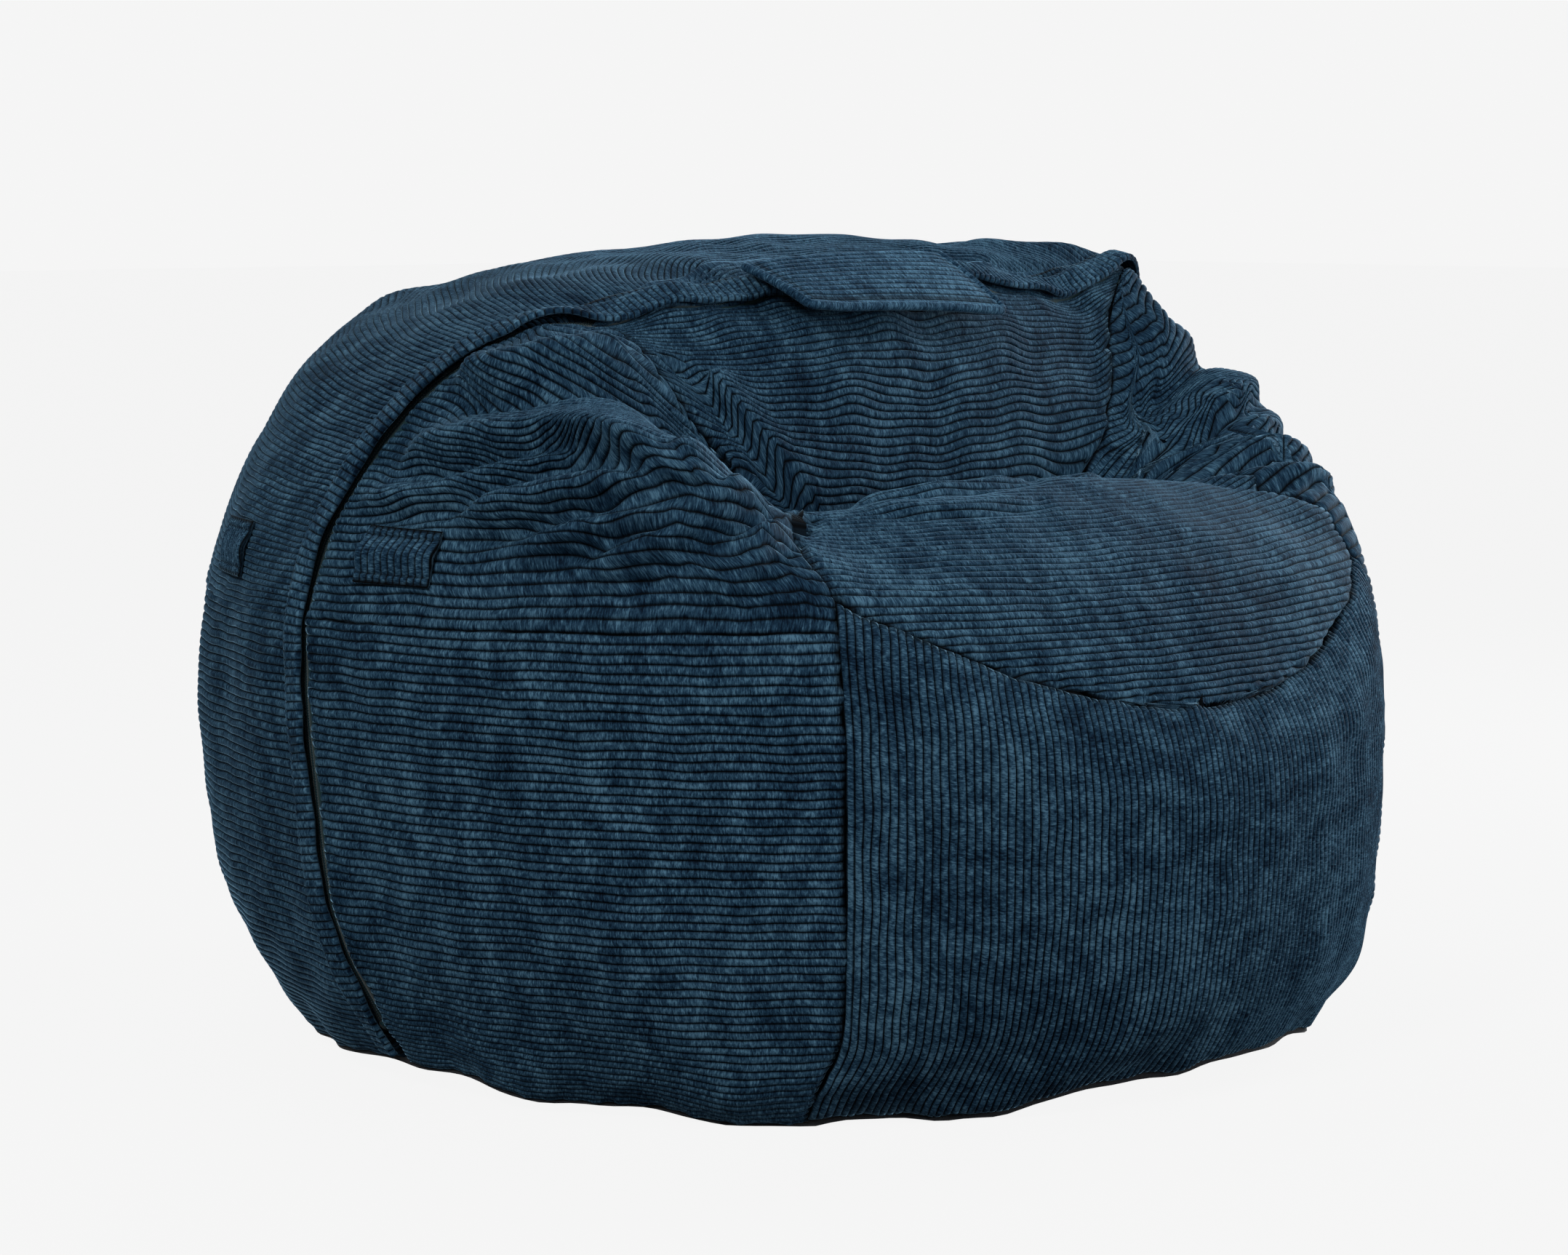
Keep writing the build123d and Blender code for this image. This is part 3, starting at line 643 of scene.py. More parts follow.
def corduroy_panel(name, targets, material, seed):
    """One panel of ribbed cloth over the stuffed form, rolled under at its seams."""
    base = folded_rows(targets) if "arm" in name else on_surface(targets)
    near = edge_distance(base)
    n = normals(base)
    across = unit(np.gradient(base, axis=0))
    base = base + across * (0.0008 * ripples(base, 0.045, seed) * ease(near, 0.0, 0.02))[..., None]
    pucker = 0.0016 * ripples(base, 0.024, seed + 50) * np.exp(-near / 0.018)
    tuck = 0.0017 * np.exp(-((near / 0.0030) ** 2)) + 0.0010 * np.exp(-near / 0.016)
    tuck = tuck * (1 - 0.8 * np.exp(-(((base[..., 2] - SEAM_Z) / 0.012) ** 2)))
    base = base + n * (pucker - tuck)[..., None]
    n = normals(base)
    fine = between_rows(base, ACROSS)
    fine_n = unit(between_rows(n, ACROSS))
    fine_near = np.maximum(between_rows(near[..., None], ACROSS)[..., 0], 0)
    count = len(base) - 1
    # the pile falls to nothing at the panel's edge: the edge sinks into the seam, and the corduroy's painted
    # shade turns the seam near black
    height = rib_heights(count, base.shape[1]) * ease(fine_near, 0.0, 0.0026)
    spacing = np.linalg.norm(np.gradient(base, axis=0), axis=-1)
    depth = between_rows((PILE * np.clip(spacing / PITCH, 0.25, 1.0))[..., None], ACROSS)
    fine = fine + fine_n * depth * (height - 1.0)[..., None]
    fine[..., 2] = np.maximum(fine[..., 2], 0.0004)
    run = np.linalg.norm(np.diff(base, axis=1), axis=-1)
    u = np.concatenate([np.zeros((len(base), 1)), np.cumsum(run, axis=1)], 1)
    u = between_rows((u - u.mean(1, keepdims=True))[..., None], ACROSS)[..., 0]
    uv = np.stack([u + seed * 1.37, rib_places(count)[:, None] + seed * 0.91 + 0 * u], -1)
    fine, uv, height = with_allowance(fine, fine_n, uv, height)
    obj = grid_mesh(name + "_cloth", fine, uv, height)
    obj.data.materials.append(material)
    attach(obj, "bag")
    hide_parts(name)
    return obj


# ------------------------------------------------------------------ materials
class Nodes:
    """Short hand for building a material's nodes."""

    def __init__(self, name):
        self.material = bpy.data.materials.new(name)
        self.material.use_nodes = True
        self.tree = self.material.node_tree
        self.shader = self.tree.nodes["Principled BSDF"]

    def node(self, kind, **inputs):
        """A new node. An underscore in an input's name stands for a space, and i0 is its first input."""
        made = self.tree.nodes.new(kind)
        for key, value in inputs.items():
            self.feed(made, key.replace("_", " "), value)
        return made

    def feed(self, made, key, value):
        socket = made.inputs[int(key[1:])] if key[0] == "i" and key[1:].isdigit() else made.inputs[key]
        if isinstance(value, bpy.types.NodeSocket):
            self.tree.links.new(value, socket)
        else:
            socket.default_value = value

    def math(self, operation, a, b=0.0, clamp=False):
        made = self.tree.nodes.new("ShaderNodeMath")
        made.operation = operation
        made.use_clamp = clamp
        self.feed(made, "i0", a)
        self.feed(made, "i1", b)
        return made.outputs[0]

    def remap(self, value, low, high, to_low, to_high):
        return self.node("ShaderNodeMapRange", Value=value, From_Min=low, From_Max=high, To_Min=to_low,
                         To_Max=to_high).outputs[0]

    def noise(self, vector, scale, detail=2.0, roughness=0.5):
        return self.node("ShaderNodeTexNoise", Vector=vector, Scale=scale, Detail=detail,
                         Roughness=roughness).outputs["Fac"]

    def scaled(self, vector, x, y, z=1.0):
        made = self.tree.nodes.new("ShaderNodeVectorMath")
        made.operation = "MULTIPLY"
        self.feed(made, "i0", vector)
        self.feed(made, "i1", (x, y, z))
        return made.outputs[0]

    def ramp(self, value, stops):
        made = self.tree.nodes.new("ShaderNodeValToRGB")
        self.feed(made, "Fac", value)
        ramp = made.color_ramp
        ramp.elements[0].position, ramp.elements[0].color = stops[0][0], (*stops[0][1], 1)
        ramp.elements[1].position, ramp.elements[1].color = stops[-1][0], (*stops[-1][1], 1)
        for place, colour in stops[1:-1]:
            ramp.elements.new(place).color = (*colour, 1)
        return made.outputs["Color"]

    def set(self, **sockets):
        for key, value in sockets.items():
            self.feed(self.shader, key.replace("_", " "), value)

    def bump(self, height, strength, distance, under=None):
        made = self.node("ShaderNodeBump", Strength=strength, Distance=distance, Height=height)
        if under is not None:
            self.feed(made, "Normal", under)
        return made.outputs["Normal"]


def corduroy(name, brightness=1.0):
    """Wide-wale corduroy: crushed velvet nap on the ribs, and painted shade that darkens the grooves between
    them.
    """
    n = Nodes(name)
    uv = n.tree.nodes.new("ShaderNodeUVMap")
    uv.uv_map = "cloth"
    uv = uv.outputs["UV"]
    rib = n.tree.nodes.new("ShaderNodeAttribute")
    rib.attribute_name = "rib"
    rib = rib.outputs["Fac"]
    fine = n.noise(n.scaled(uv, 760, 190), 1.0, 3.0, 0.7)
    dabs = n.noise(n.scaled(uv, 300, 150), 1.0, 3.0, 0.6)
    patches = n.noise(n.scaled(uv, 52, 30), 1.0, 3.0, 0.6)
    broad = n.noise(n.scaled(uv, 7, 6), 1.0, 2.0, 0.5)
    nap = n.math("ADD", n.math("MULTIPLY", fine, 0.60), n.math("MULTIPLY", dabs, 0.36))
    nap = n.math("ADD", nap, n.math("MULTIPLY", patches, 0.34))
    nap = n.math("ADD", nap, n.math("MULTIPLY", broad, 0.20))
    nap = n.remap(nap, 0.60, 0.88, 0.0, 1.0)
    tones = [(0.0, (0.0008, 0.0056, 0.0145)), (0.30, (0.0050, 0.0200, 0.0420)),
             (0.60, (0.0170, 0.0490, 0.0870)), (1.0, (0.062, 0.140, 0.212))]
    colour = n.ramp(nap, [(place, tuple(c * brightness for c in tone)) for place, tone in tones])
    # painted shade: the colour drops to 3% where the pile attribute is low, in the grooves, at the seams and
    # along stitching
    groove_shade = n.remap(rib, 0.08, 0.92, 0.03, 1.0)
    shade = n.node("ShaderNodeVectorMath", i0=colour)
    shade.operation = "SCALE"
    n.feed(shade, "Scale", groove_shade)
    fibres = n.noise(n.scaled(uv, 1500, 260), 1.0, 2.0, 0.6)
    lie = n.noise(n.scaled(uv, 260, 120), 1.0, 2.0, 0.5)
    normal = n.bump(lie, 0.6, 0.0008)
    normal = n.bump(fibres, 0.5, 0.0004, normal)
    n.set(Base_Color=shade.outputs["Vector"], Roughness=0.80, Sheen_Weight=0.60, Sheen_Roughness=0.20,
          Sheen_Tint=(0.30, 0.58, 0.84, 1.0), Specular_IOR_Level=0.06, Normal=normal)
    return n.material


CORDUROY = corduroy("corduroy")


# ------------------------------------------------------------------ the cover
corduroy_panel("front_panel", front_rows(105, 62), CORDUROY, 1)
corduroy_panel("seat_panel", seat_rows(56, 84), CORDUROY, 2)
corduroy_panel("backrest_panel", backrest_rows(42, 84), CORDUROY, 3)
for word, side in (("left", -1), ("right", 1)):
    corduroy_panel(f"{word}_side_panel", ring_rows(60, 74, side), CORDUROY, 5 + side)
    corduroy_panel(f"{word}_arm_panel", arm_rows(49, 124, side), CORDUROY, 8 + side)
corduroy_panel("back_lower_panel", back_lower_rows(60, 190), CORDUROY, 11)
corduroy_panel("back_upper_panel", back_upper_rows(108, 130), CORDUROY, 12)


# ------------------------------------------------------------------ narrow goods: placket, zip, loops, flap
def surface_normals(points):
    """Outward unit normals of the stuffed form at any points."""
    step = 0.002
    slope = [outside(points + np.eye(3)[i] * step) - outside(points - np.eye(3)[i] * step) for i in range(3)]
    return unit(np.stack(slope, -1))


def evenly(points, spacing):
    """A polyline's points again, at an even spacing."""
    place = arc_lengths(points)
    count = max(int(round(place[-1] / spacing)), 2)
    new = np.linspace(0, place[-1], count + 1)
    return np.stack([np.interp(new, place, points[:, i]) for i in range(3)], -1)


def smoothed(values, times):
    """Values along a line with their small kinks rubbed out, ends kept."""
    for _ in range(times):
        inner = 0.25 * values[:-2] + 0.5 * values[1:-1] + 0.25 * values[2:]
        values = np.concatenate([values[:1], inner, values[-1:]])
    return values


class Track:
    """A line on the cover with its direction, outward normal and the sideways direction to its left."""

    def __init__(self, points, smoothing=6):
        self.points = smoothed(points, smoothing)
        self.ahead = unit(np.gradient(self.points, axis=0))
        out = smoothed(surface_normals(self.points), smoothing)
        self.out = unit(out - self.ahead * np.sum(out * self.ahead, -1, keepdims=True))
        self.aside = np.cross(self.out, self.ahead)

    def at(self, aside, out):
        """Points beside the line: one row for each of its points, one column for each offset."""
        return (self.points[:, None] + self.aside[:, None] * np.asarray(aside)[..., None]
                + self.out[:, None] * np.asarray(out)[..., None])

    def part(self, places):
        """The same track with points between its own, at the given places."""
        new = object.__new__(Track)
        new.points, new.ahead, new.out, new.aside = (
            between_rows(k, places) for k in (self.points, self.ahead, self.out, self.aside))
        return new


def zip_line(left_end, right_end, spacing):
    """The zip's line on the cover, from its left end over the crown to its right end."""
    left = zip_side(np.linspace(left_end, 0.635, 120), -1)
    right = zip_side(np.linspace(0.635, right_end, 120), 1)
    over = zip_crown(np.linspace(-BACK_TOP[0], BACK_TOP[0], 80))
    line = evenly(on_surface(np.concatenate([left, over, right])), 0.004)
    return evenly(on_surface(smoothed(line, 22), folds=False), spacing)


def joined(obj):
    """Welds the points that lie on each other."""
    made = bmesh.new()
    made.from_mesh(obj.data)
    bmesh.ops.remove_doubles(made, verts=made.verts, dist=2e-6)
    bmesh.ops.dissolve_degenerate(made, edges=made.edges, dist=1e-6)
    bmesh.ops.recalc_face_normals(made, faces=made.faces)
    made.to_mesh(obj.data)
    made.free()
    return obj


def closed_piece(name, rings, material, rib=None, uv=None):
    """A closed solid from rings of points, its two ends drawn together."""
    first, last = (0 * k + k.mean(1, keepdims=True) for k in (rings[:1], rings[-1:]))
    rows = np.concatenate([first, rings, last])
    if rib is not None:
        rib = np.concatenate([rib[:1], rib, rib[-1:]])
    if uv is not None:
        uv = np.concatenate([uv[:1], uv, uv[-1:]])
    obj = grid_mesh(name, rows, uv, rib, closed=True)
    obj.data.materials.append(material)
    return joined(obj)


def folded(name, outer, inner, material, rib, uv):
    """A flat strip with a face, a back and closed edges. Rows run across it."""
    mid = 0.5 * (outer + inner)
    rim = 0.35
    far = mid[:, -1:] + (outer[:, -1:] - outer[:, -2:-1]) * rim
    close = mid[:, :1] + (outer[:, :1] - outer[:, 1:2]) * rim
    rings = np.concatenate([outer, far, inner[:, ::-1], close], 1)
    columns = outer.shape[1]
    back = np.zeros((len(outer), columns)) + 0.8
    ribs = np.concatenate([rib, rib[:, -1:], back, rib[:, :1]], 1)
    uvs = np.concatenate([uv, uv[:, -1:], uv[:, ::-1] + (0.3, 0.0), uv[:, :1]], 1)
    return closed_piece(name, rings, material, ribs, uvs)


def placket():
    """Folded strip over the zip: sewn down at its rear, its front edge free and a little wavy."""
    line = Track(zip_line(0.030, 0.232, PITCH), 9)
    count = len(line.points) - 1
    across = np.linspace(0, 1, 20)[None, :]
    rear = 0.0255
    edge = -0.0078 + 0.0018 * ripples(line.points[:, None], 0.11, 31)
    bed = on_surface(line.at(rear + (edge - rear) * across, 0 * across))
    away = surface_normals(bed)
    bed, away = between_rows(bed, ACROSS), unit(between_rows(away, ACROSS))
    wave = ripples(bed[:, :1], 0.11, 31)
    flutter = ripples(bed[:, :1], 0.05, 32)
    lift = 0.0022 + 0.0064 * ease(across, 0.10, 0.42)
    lift = lift + (0.0022 * wave + 0.0012 * flutter) * ease(across, 0.3, 1.0)
    stitched = np.exp(-(((across - 0.20) / 0.05) ** 2))
    lift = lift - 0.0016 * stitched - 0.0012 * ease(across, 0.82, 1.0)
    lift = lift + 0.0016 * np.exp(-(((across - 0.93) / 0.05) ** 2))
    # the pile is lowered at the sewn rear edge and along the stitching: they sink, and the corduroy's painted
    # shade darkens them
    height = rib_heights(count, 20) * ease(across, 0.02, 0.12) * (1 - 0.6 * stitched)
    outer = bed + away * (lift + 0.0017 * (height - 1.0))[..., None]
    inner = bed + away * (lift - 0.0042)[..., None]
    v = rib_places(count)[:, None]
    uv = np.stack([v * 0 + across * rear + 17.0, v + 0 * across], -1)
    obj = folded("zipper_placket_cloth", outer, inner, TRIM, height, uv)
    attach(obj, "bag")
    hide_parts("zipper_placket")


def ribbon(name, line, profile, material, node, body="bag"):
    """A strip of constant section along a track."""
    profile = np.array(profile)
    level = 0 * line.points[:, :1]
    rings = line.at(profile[:, 0][None] + level, profile[:, 1][None] + level)
    obj = closed_piece(name, rings, material)
    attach(obj, body)
    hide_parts(node)
    return obj


def seam_strips():
    """Sewn allowances under the seams of the seat and the backrest, near black as painted shade in the seam
    gaps.
    """
    half, deep, thin = 0.011, 0.0062, 0.0008
    section = [(-half, -deep), (0.0, thin - deep), (half, -deep), (half, -deep - thin), (-half, -deep - thin)]
    seams = {"seat_panel_rear": bowed(CREASE[None], PINCH[None], 60)[0]}
    for word, side in (("left", -1), ("right", 1)):
        for node, seam in (("seat_panel", SIDE_SEAM), ("backrest_panel", BACK_SEAM)):
            seams[f"{node}_{word}"] = along(seam, np.linspace(0.0, 1.0, 60)) * np.array([side, 1, 1])
    for name, points in seams.items():
        line = Track(evenly(on_surface(points), 0.006), 6)
        node = "seat_panel" if "seat" in name else "backrest_panel"
        # these strips have no pile attribute, so the corduroy's painted shade makes them near black: painted
        # shade in the seams
        strip = ribbon(f"{name}_allowance", line, section, TRIM, node)


def zip_fastener():
    """Two woven tapes, each with a row of moulded coil turns, and a stop at each end."""
    tape_line = Track(zip_line(0.045, 0.125, 0.008), 8)
    for word, side in (("front", -1), ("rear", 1)):
        flat = [(0.0003, -0.0036), (0.008, -0.0038), (0.016, -0.0060), (0.016, -0.0068), (0.008, -0.0046),
                (0.0003, -0.0044)]
        obj = ribbon(f"zipper_tape_{word}_cloth", tape_line, [(side * a, o) for a, o in flat], TAPE,
                     f"zipper_tape_{word}")
        turn = 0.0022
        coil_line = Track(zip_line(0.055, 0.130, turn), 60).part([0.0, 0.25, 0.5, 0.75])
        swell = 0.5 - 0.5 * np.cos(2 * math.pi * np.arange(len(coil_line.points)) / 4)[:, None]
        angle = np.linspace(0, 2 * math.pi, 8, endpoint=False)[None, :]
        reach = 0.0019 + 0.0005 * swell
        thick = 0.0010 + 0.0007 * swell
        rings = coil_line.at(side * (0.0021 + reach * np.cos(angle)), -0.0044 + thick * np.sin(angle))
        coil = closed_piece(f"zipper_coil_{word}_teeth", rings, COIL)
        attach(coil, "bag")
        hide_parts(f"zipper_coil_{word}")
    for word, z, side in (("left", 0.052, -1), ("right", 0.127, 1)):
        ends = zip_side(np.array([z - 0.003, z - 0.002, z, z + 0.002, z + 0.003]), side)
        stop_line = Track(on_surface(ends), 0)
        angle = np.linspace(0, 2 * math.pi, 16, endpoint=False)[None, :]
        full = np.array([0.6, 0.95, 1.0, 0.95, 0.6])[:, None]
        rings = stop_line.at(0.0042 * full * np.cos(angle), -0.0022 + 0.0022 * full * np.sin(angle))
        stop = closed_piece(f"zipper_end_stop_{word}_moulding", rings, COIL)
        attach(stop, "bag")
        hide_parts(f"zipper_end_stop_{word}")


LOOP_SIZE = (0.080, 0.050)                        # strap loop's width and height


def strap_loop(node, side, azimuth, z, rise):
    """A hemmed patch of ribbed cloth, sewn at its top and bottom, that a hand goes behind."""
    width, height = LOOP_SIZE
    count = int(round(width / PITCH))
    columns = 26
    radius = float(drum_radius(z))
    spread = np.linspace(-0.5, 0.5, count + 1)[:, None] * width / radius
    t = np.linspace(0, 1, columns)[None, :]
    level = z + (t - 0.5) * height
    targets = round_axis(side * (math.radians(azimuth) + spread), radius + 0 * level, level + 0 * spread)
    base = on_surface(targets, folds=False)
    n = surface_normals(base)
    for _ in range(2):
        base = np.swapaxes(smoothed(base, 12), 0, 1)
        n = np.swapaxes(unit(smoothed(n, 80)), 0, 1)
    fine, fine_n = between_rows(base, ACROSS), unit(between_rows(n, ACROSS))
    across = np.linspace(0, 1, len(fine))[:, None]
    hem = 0.17
    arch = ease(t, hem * 0.7, 0.5) * ease(1 - t, hem * 0.7, 0.5)
    lift = 0.0045 + rise * arch + 0.0010 * ripples(fine, 0.05, 41) * arch
    stitched = sum(np.exp(-(((t - a) / 0.022) ** 2)) for a in (0.05, hem, 1 - hem, 0.95))
    lift = lift - 0.0007 * stitched + 0.0010 * (ease(hem - t, 0, 0.02) + ease(t - 1 + hem, 0, 0.02))
    # the pile is lowered along the stitching and at the ends: they sink, and the corduroy's painted shade
    # darkens them
    rib = rib_heights(count, columns) * (1 - 0.75 * stitched) * ease(t, 0, 0.03) * ease(1 - t, 0, 0.03)
    edge = 1 - 0.5 * (np.exp(-((across / 0.02) ** 2)) + np.exp(-(((1 - across) / 0.02) ** 2)))
    outer = fine + fine_n * (lift + 0.0016 * (rib * edge - 1))[..., None]
    inner = fine + fine_n * (lift - 0.0040)[..., None]
    uv = np.stack([level + 23.0 + 0 * across, rib_places(count)[:, None] + 0 * level], -1)
    obj = folded(node + "_cloth", outer, inner, TRIM, rib, uv)
    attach(obj, "bag")
    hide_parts(node)


FLAP_MIDDLE = (-0.022, -0.094)                    # middle of the flap's sewn edge
FLAP_SIZE = (0.240, 0.086)


def flap_surface(u, v):
    """Mid surface of the label flap: u from left to right, v from its sewn edge to its free one."""
    x = FLAP_MIDDLE[0] + (u - 0.5) * FLAP_SIZE[0] + 0.010 * (v - 0.5)
    y = FLAP_MIDDLE[1] - v * FLAP_SIZE[1] * 0.86 + 0 * u
    z = 0.690 + 0.010 * u - v * FLAP_SIZE[1] * (0.30 + 0.16 * u) - 0.010 * v**2 - 0.016 * (u - 0.42) ** 2
    z = z + 0.004 * np.exp(-((u / 0.12) ** 2)) * v
    return np.stack([x, y, z], -1)


def flap():
    """Padded label flap: ribbed face, plain back, wadding between and a corded edge."""
    count, columns = 12, 70
    v = np.linspace(0, 1, count + 1)[:, None]
    u = np.linspace(0, 1, columns)[None, :]
    base = flap_surface(u + 0 * v, v + 0 * u)
    n = unit(np.cross(np.gradient(base, axis=1), np.gradient(base, axis=0)))
    n = n * np.sign(n[..., 2:3])
    fine, fine_n = between_rows(base, ACROSS), unit(between_rows(n, ACROSS))
    vf = np.linspace(0, 1, len(fine))[:, None]
    inset = np.minimum(np.minimum(u, 1 - u) * FLAP_SIZE[0], np.minimum(vf + 0.3, 1 - vf) * FLAP_SIZE[1])
    puff = 0.0034 * (1 - np.exp(-inset / 0.012))
    # the pile is lowered at the edge and along the quilting line 10 mm inside it: they sink, and the
    # corduroy's painted shade darkens them
    rib = rib_heights(count, columns) * ease(inset, 0.0, 0.004)
    rib = rib * (1 - 0.7 * np.exp(-(((inset - 0.010) / 0.0014) ** 2)))
    outer = fine + fine_n * (0.0012 + puff + 0.0013 * (rib - 1))[..., None]
    inner = fine + fine_n * (0.0002 + puff - 0.0024)[..., None]
    uv = np.stack([u * FLAP_SIZE[0] + 31.0 + 0 * vf, rib_places(count)[:, None] + 0 * u], -1)
    face = folded("label_flap_face_cloth", outer, inner, FLAP_CORDUROY_LIT, rib, uv)
    under = fine - fine_n * (0.0012 + 0.6 * puff)[..., None]
    back = folded("label_flap_backing_cloth", under + fine_n * 0.0014, under, BASE_CLOTH, rib * 0 + 1, uv)
    core = closed_piece("label_flap_wadding", np.concatenate(
        [fine - fine_n * (0.55 * puff)[..., None] + 0.0002 * fine_n,
         (fine + fine_n * (0.85 * puff - 0.0012)[..., None])[:, ::-1]], 1)[4:-4], WADDING)
    path = np.concatenate([flap_surface(u * 0, v)[:, 0], flap_surface(u, v * 0 + 1)[0],
                           flap_surface(u * 0 + 1, v[::-1])[:, 0]])
    path = smoothed(evenly(path, 0.004), 3)
    ahead = unit(np.gradient(path, axis=0))
    out = unit(np.array([0, -0.3, 1.0]) - ahead * (ahead @ np.array([0, -0.3, 1.0]))[:, None])
    aside = np.cross(out, ahead)
    angle = np.linspace(0, 2 * math.pi, 14, endpoint=False)[None, :, None]
    rings = path[:, None] + 0.0034 * (np.cos(angle) * aside[:, None] + 1.15 * np.sin(angle) * out[:, None])
    place = np.arange(len(path))[:, None] * 0.004
    ring_uv = np.stack([place + 37.0 + 0 * angle[..., 0], angle[..., 0] * 0.0034 + 0 * place], -1)
    cord = closed_piece("label_flap_binding_cord", rings, FLAP_CORDUROY_LIT, np.full(rings.shape[:2], 0.85), ring_uv)
    for obj, node, slot in ((face, "label_flap_face", "corduroy_trim"),
                            (back, "label_flap_backing", "base_cloth"),
                            (core, "label_flap_padding", "flap_wadding"),
                            (cord, "label_flap_binding", "corduroy_trim")):
        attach(obj, "flap")
        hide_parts(node)


def base_panel():
    """Round base of plain dark cloth, from the hem in to the flat footprint."""
    azimuth = np.linspace(0, 2 * math.pi, 240, endpoint=False)[None, :]
    around = np.where(azimuth > math.pi, azimuth - 2 * math.pi, azimuth)
    hem = on_surface(hemmed(round_axis(around, drum_radius(np.array([[0.0]])), 0.0)))
    share = np.linspace(0, 1, 26)[:, None]
    ring = 1 - share
    points = hem * ring[..., None]
    rim = np.exp(-share / 0.02)
    points[..., 2] = base_height(points) + (hem[..., 2] - base_height(points)) * rim
    points[..., 2] = np.maximum(points[..., 2] + 0.0005 * ripples(points, 0.1, 60), 0.0006)
    obj = grid_mesh("base_panel_cloth", points, closed=True)
    obj.data.materials.append(BASE_CLOTH)
    joined(obj)
    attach(obj, "bag")
    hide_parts("base_panel")


def plain_cloth(name, colour, scale=900.0, roughness=0.85, contrast=0.25):
    """Plain woven cloth: slubs in its colour and fine threads in its relief."""
    n = Nodes(name)
    place = n.tree.nodes.new("ShaderNodeTexCoord").outputs["Object"]
    slubs = n.noise(place, scale * 0.3, 3.0, 0.6)
    threads = n.noise(place, scale, 2.0, 0.5)
    low = tuple(c * (1 - contrast) for c in colour)
    high = tuple(min(c * (1 + contrast), 1.0) for c in colour)
    shade = n.ramp(n.remap(slubs, 0.3, 0.7, 0.0, 1.0), [(0.0, low), (1.0, high)])
    n.set(Base_Color=shade, Roughness=roughness, Sheen_Weight=0.15, Sheen_Roughness=0.5,
          Specular_IOR_Level=0.2, Normal=n.bump(threads, 0.5, 0.0004))
    return n.material


def metal(name):
    """Dark nickel, brushed and lightly worn."""
    n = Nodes(name)
    place = n.tree.nodes.new("ShaderNodeTexCoord").outputs["Object"]
    wear = n.noise(n.scaled(place, 300, 300, 2500), 1.0, 3.0, 0.6)
    shade = n.ramp(wear, [(0.3, (0.17, 0.18, 0.19)), (0.8, (0.34, 0.35, 0.36))])
    n.set(Base_Color=shade, Metallic=1.0, Roughness=n.remap(wear, 0.3, 0.8, 0.26, 0.42),
          Normal=n.bump(wear, 0.1, 0.0002))
    return n.material


TRIM = corduroy("corduroy_trim", 1.08)
# the flap's face and binding use the same corduroy painted 1.3 times lighter: painted light on the
# upward-facing flap
FLAP_CORDUROY_LIT = corduroy("flap_corduroy_painted_lighter", 1.3)
BASE_CLOTH = plain_cloth("base_cloth", (0.010, 0.011, 0.014))
TAPE = plain_cloth("zip_tape", (0.002, 0.024, 0.030), 1400.0)
COIL = plain_cloth("zip_coil", (0.002, 0.018, 0.024), 300.0, 0.4, 0.1)
WADDING = plain_cloth("flap_wadding", (0.75, 0.75, 0.72), 260.0, 0.95)
NICKEL = metal("slider_metal")

placket()
zip_fastener()
seam_strips()
for word, side in (("left", -1), ("right", 1)):
    strap_loop(f"strap_loop_front_{word}", side, 81.2, 0.456, 0.0065)
    strap_loop(f"strap_loop_rear_{word}", side, 110.5, 0.446, 0.0025)
flap()
base_panel()
for node, material in (("zipper_slider", NICKEL), ("zipper_pull_tab", NICKEL),
                       ("liner_zipper_slider", NICKEL), ("liner_zipper_tape", TAPE),
                       ("liner_zipper_coil", COIL)):
    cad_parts[node].data.materials.clear()
    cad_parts[node].data.materials.append(material)

# ------------------------------------------------------------------ liner and filling
def whole_round(z_low, z_high, rings, spokes, depth):
    """Rings of the stuffed form, at a depth under the cover, between two elevations seen from the centre."""
    lift = np.linspace(z_low, z_high, rings)[:, None]
    azimuth = np.linspace(0, 2 * math.pi, spokes, endpoint=False)[None, :]
    way = round_axis(azimuth, np.cos(lift), np.sin(lift))
    points = on_surface(CENTRE + way, -depth)
    points[..., 2] = np.maximum(points[..., 2], base_height(points) + depth * 0.35)
    return points


LINER_CLOTH = plain_cloth("liner_cloth", (0.030, 0.036, 0.046))
FOAM = plain_cloth("foam", (0.70, 0.58, 0.30), 160.0, 0.95, 0.45)
LINER_DEPTH = 0.013
FOAM_DEPTH = 0.024


def inner_pieces():
    """The liner's three pieces, and the filling as one crowned body inside them."""
    pole, seam, rim = math.radians(89.9), math.radians(9), math.radians(-27)
    for name, low, high, rings in (("liner_upper", seam, pole, 90), ("liner_lower", rim, seam, 40),
                                   ("liner_base", -pole, rim, 30)):
        points = whole_round(low, high, rings, 160, LINER_DEPTH)
        obj = grid_mesh(name + "_cloth", points, closed=True)
        obj.data.materials.append(LINER_CLOTH)
        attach(obj, "bag")
        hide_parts(name)
    pole = math.radians(89.95)
    foam = grid_mesh("foam_filling", whole_round(-pole, pole, 120, 160, FOAM_DEPTH), closed=True)
    foam.data.materials.append(FOAM)
    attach(foam, "bag")
    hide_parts("foam_fill")


inner_pieces()

# ------------------------------------------------------------------ floor, light and camera
def seen_or_cast(tree, seen, cast):
    """A strength that is one value where it is looked at and another where it lights the object."""
    path = tree.nodes.new("ShaderNodeLightPath")
    made = tree.nodes.new("ShaderNodeMapRange")
    tree.links.new(path.outputs["Is Camera Ray"], made.inputs["Value"])
    made.inputs["To Min"].default_value = cast
    made.inputs["To Max"].default_value = seen
    return made.outputs["Result"]


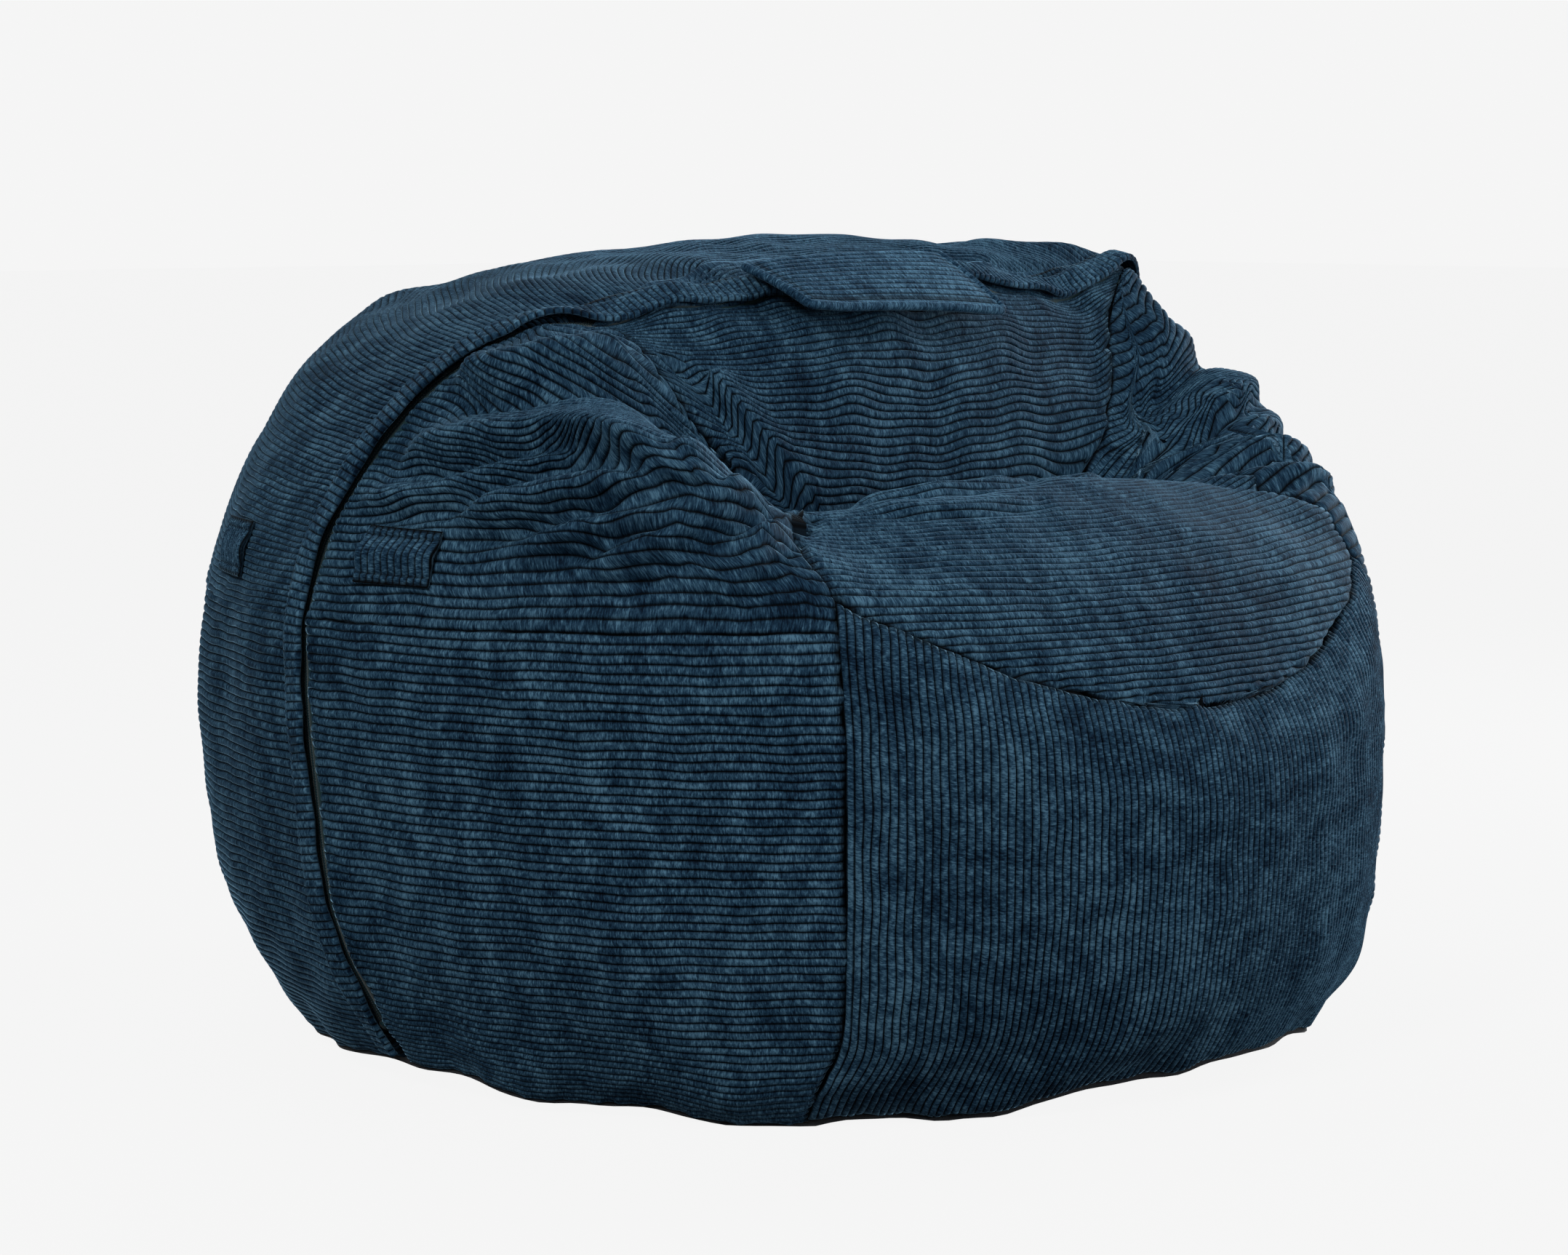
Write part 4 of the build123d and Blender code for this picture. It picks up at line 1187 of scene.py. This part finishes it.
def studio():
    """Pale floor that runs into a pale surround."""
    reach = 30.0
    corners = [(-reach, -reach, 0), (reach, -reach, 0), (reach, reach, 0), (-reach, reach, 0)]
    mesh = bpy.data.meshes.new("floor")
    mesh.from_pydata(corners, [], [(0, 1, 2, 3)])
    floor = bpy.data.objects.new("floor", mesh)
    bpy.context.scene.collection.objects.link(floor)
    n = Nodes("floor")
    n.set(Base_Color=(0.022, 0.022, 0.022, 1), Roughness=0.9, Specular_IOR_Level=0.0,
          Emission_Color=(1, 1, 1, 1), Emission_Strength=seen_or_cast(n.tree, 0.895, 0.16))
    mesh.materials.append(n.material)
    world = bpy.data.worlds.new("studio")
    world.use_nodes = True
    background = world.node_tree.nodes["Background"]
    background.inputs["Color"].default_value = (1.0, 1.0, 1.0, 1)
    world.node_tree.links.new(seen_or_cast(world.node_tree, 0.914, 0.30), background.inputs["Strength"])
    bpy.context.scene.world = world
    bpy.context.scene.view_settings.view_transform = "Standard"


def area_light(name, place, aim, size, power, colour):
    """A round soft light at a place, turned towards its aim."""
    light = bpy.data.lights.new(name, "AREA")
    light.shape = "DISK"
    light.size = size
    light.energy = power
    light.color = colour
    obj = bpy.data.objects.new(name, light)
    bpy.context.scene.collection.objects.link(obj)
    obj.location = place
    obj.rotation_euler = (Vector(aim) - Vector(place)).to_track_quat("-Z", "Y").to_euler()


CAMERA_AIM = (-0.0063, 0.0059, 0.354)


def camera():
    """A long lens from the front left, a little above the chair."""
    azimuth, distance, height = math.radians(-43.0), 3.5, 0.75
    place = Vector((distance * math.sin(azimuth), -distance * math.cos(azimuth), height))
    data = bpy.data.cameras.new("camera")
    data.sensor_width = 36.0
    data.lens = 88.08
    obj = bpy.data.objects.new("camera", data)
    bpy.context.scene.collection.objects.link(obj)
    obj.location = place
    obj.rotation_euler = (Vector(CAMERA_AIM) - place).to_track_quat("-Z", "Y").to_euler()
    bpy.context.scene.camera = obj


studio()
camera()
area_light("key", (-3.0, -1.2, 2.4), (0, 0, 0.36), 1.0, 76, (1.0, 0.99, 0.97))
area_light("top", (0.2, 1.4, 3.0), (0, 0, 0.60), 1.6, 30, (0.97, 0.99, 1.0))
area_light("rim", (2.9, -0.4, 1.2), (0.2, 0, 0.34), 1.2, 66, (0.95, 0.98, 1.0))
area_light("fill", (1.1, -3.5, 1.1), (0, 0, 0.24), 1.3, 52, (0.97, 0.99, 1.0))
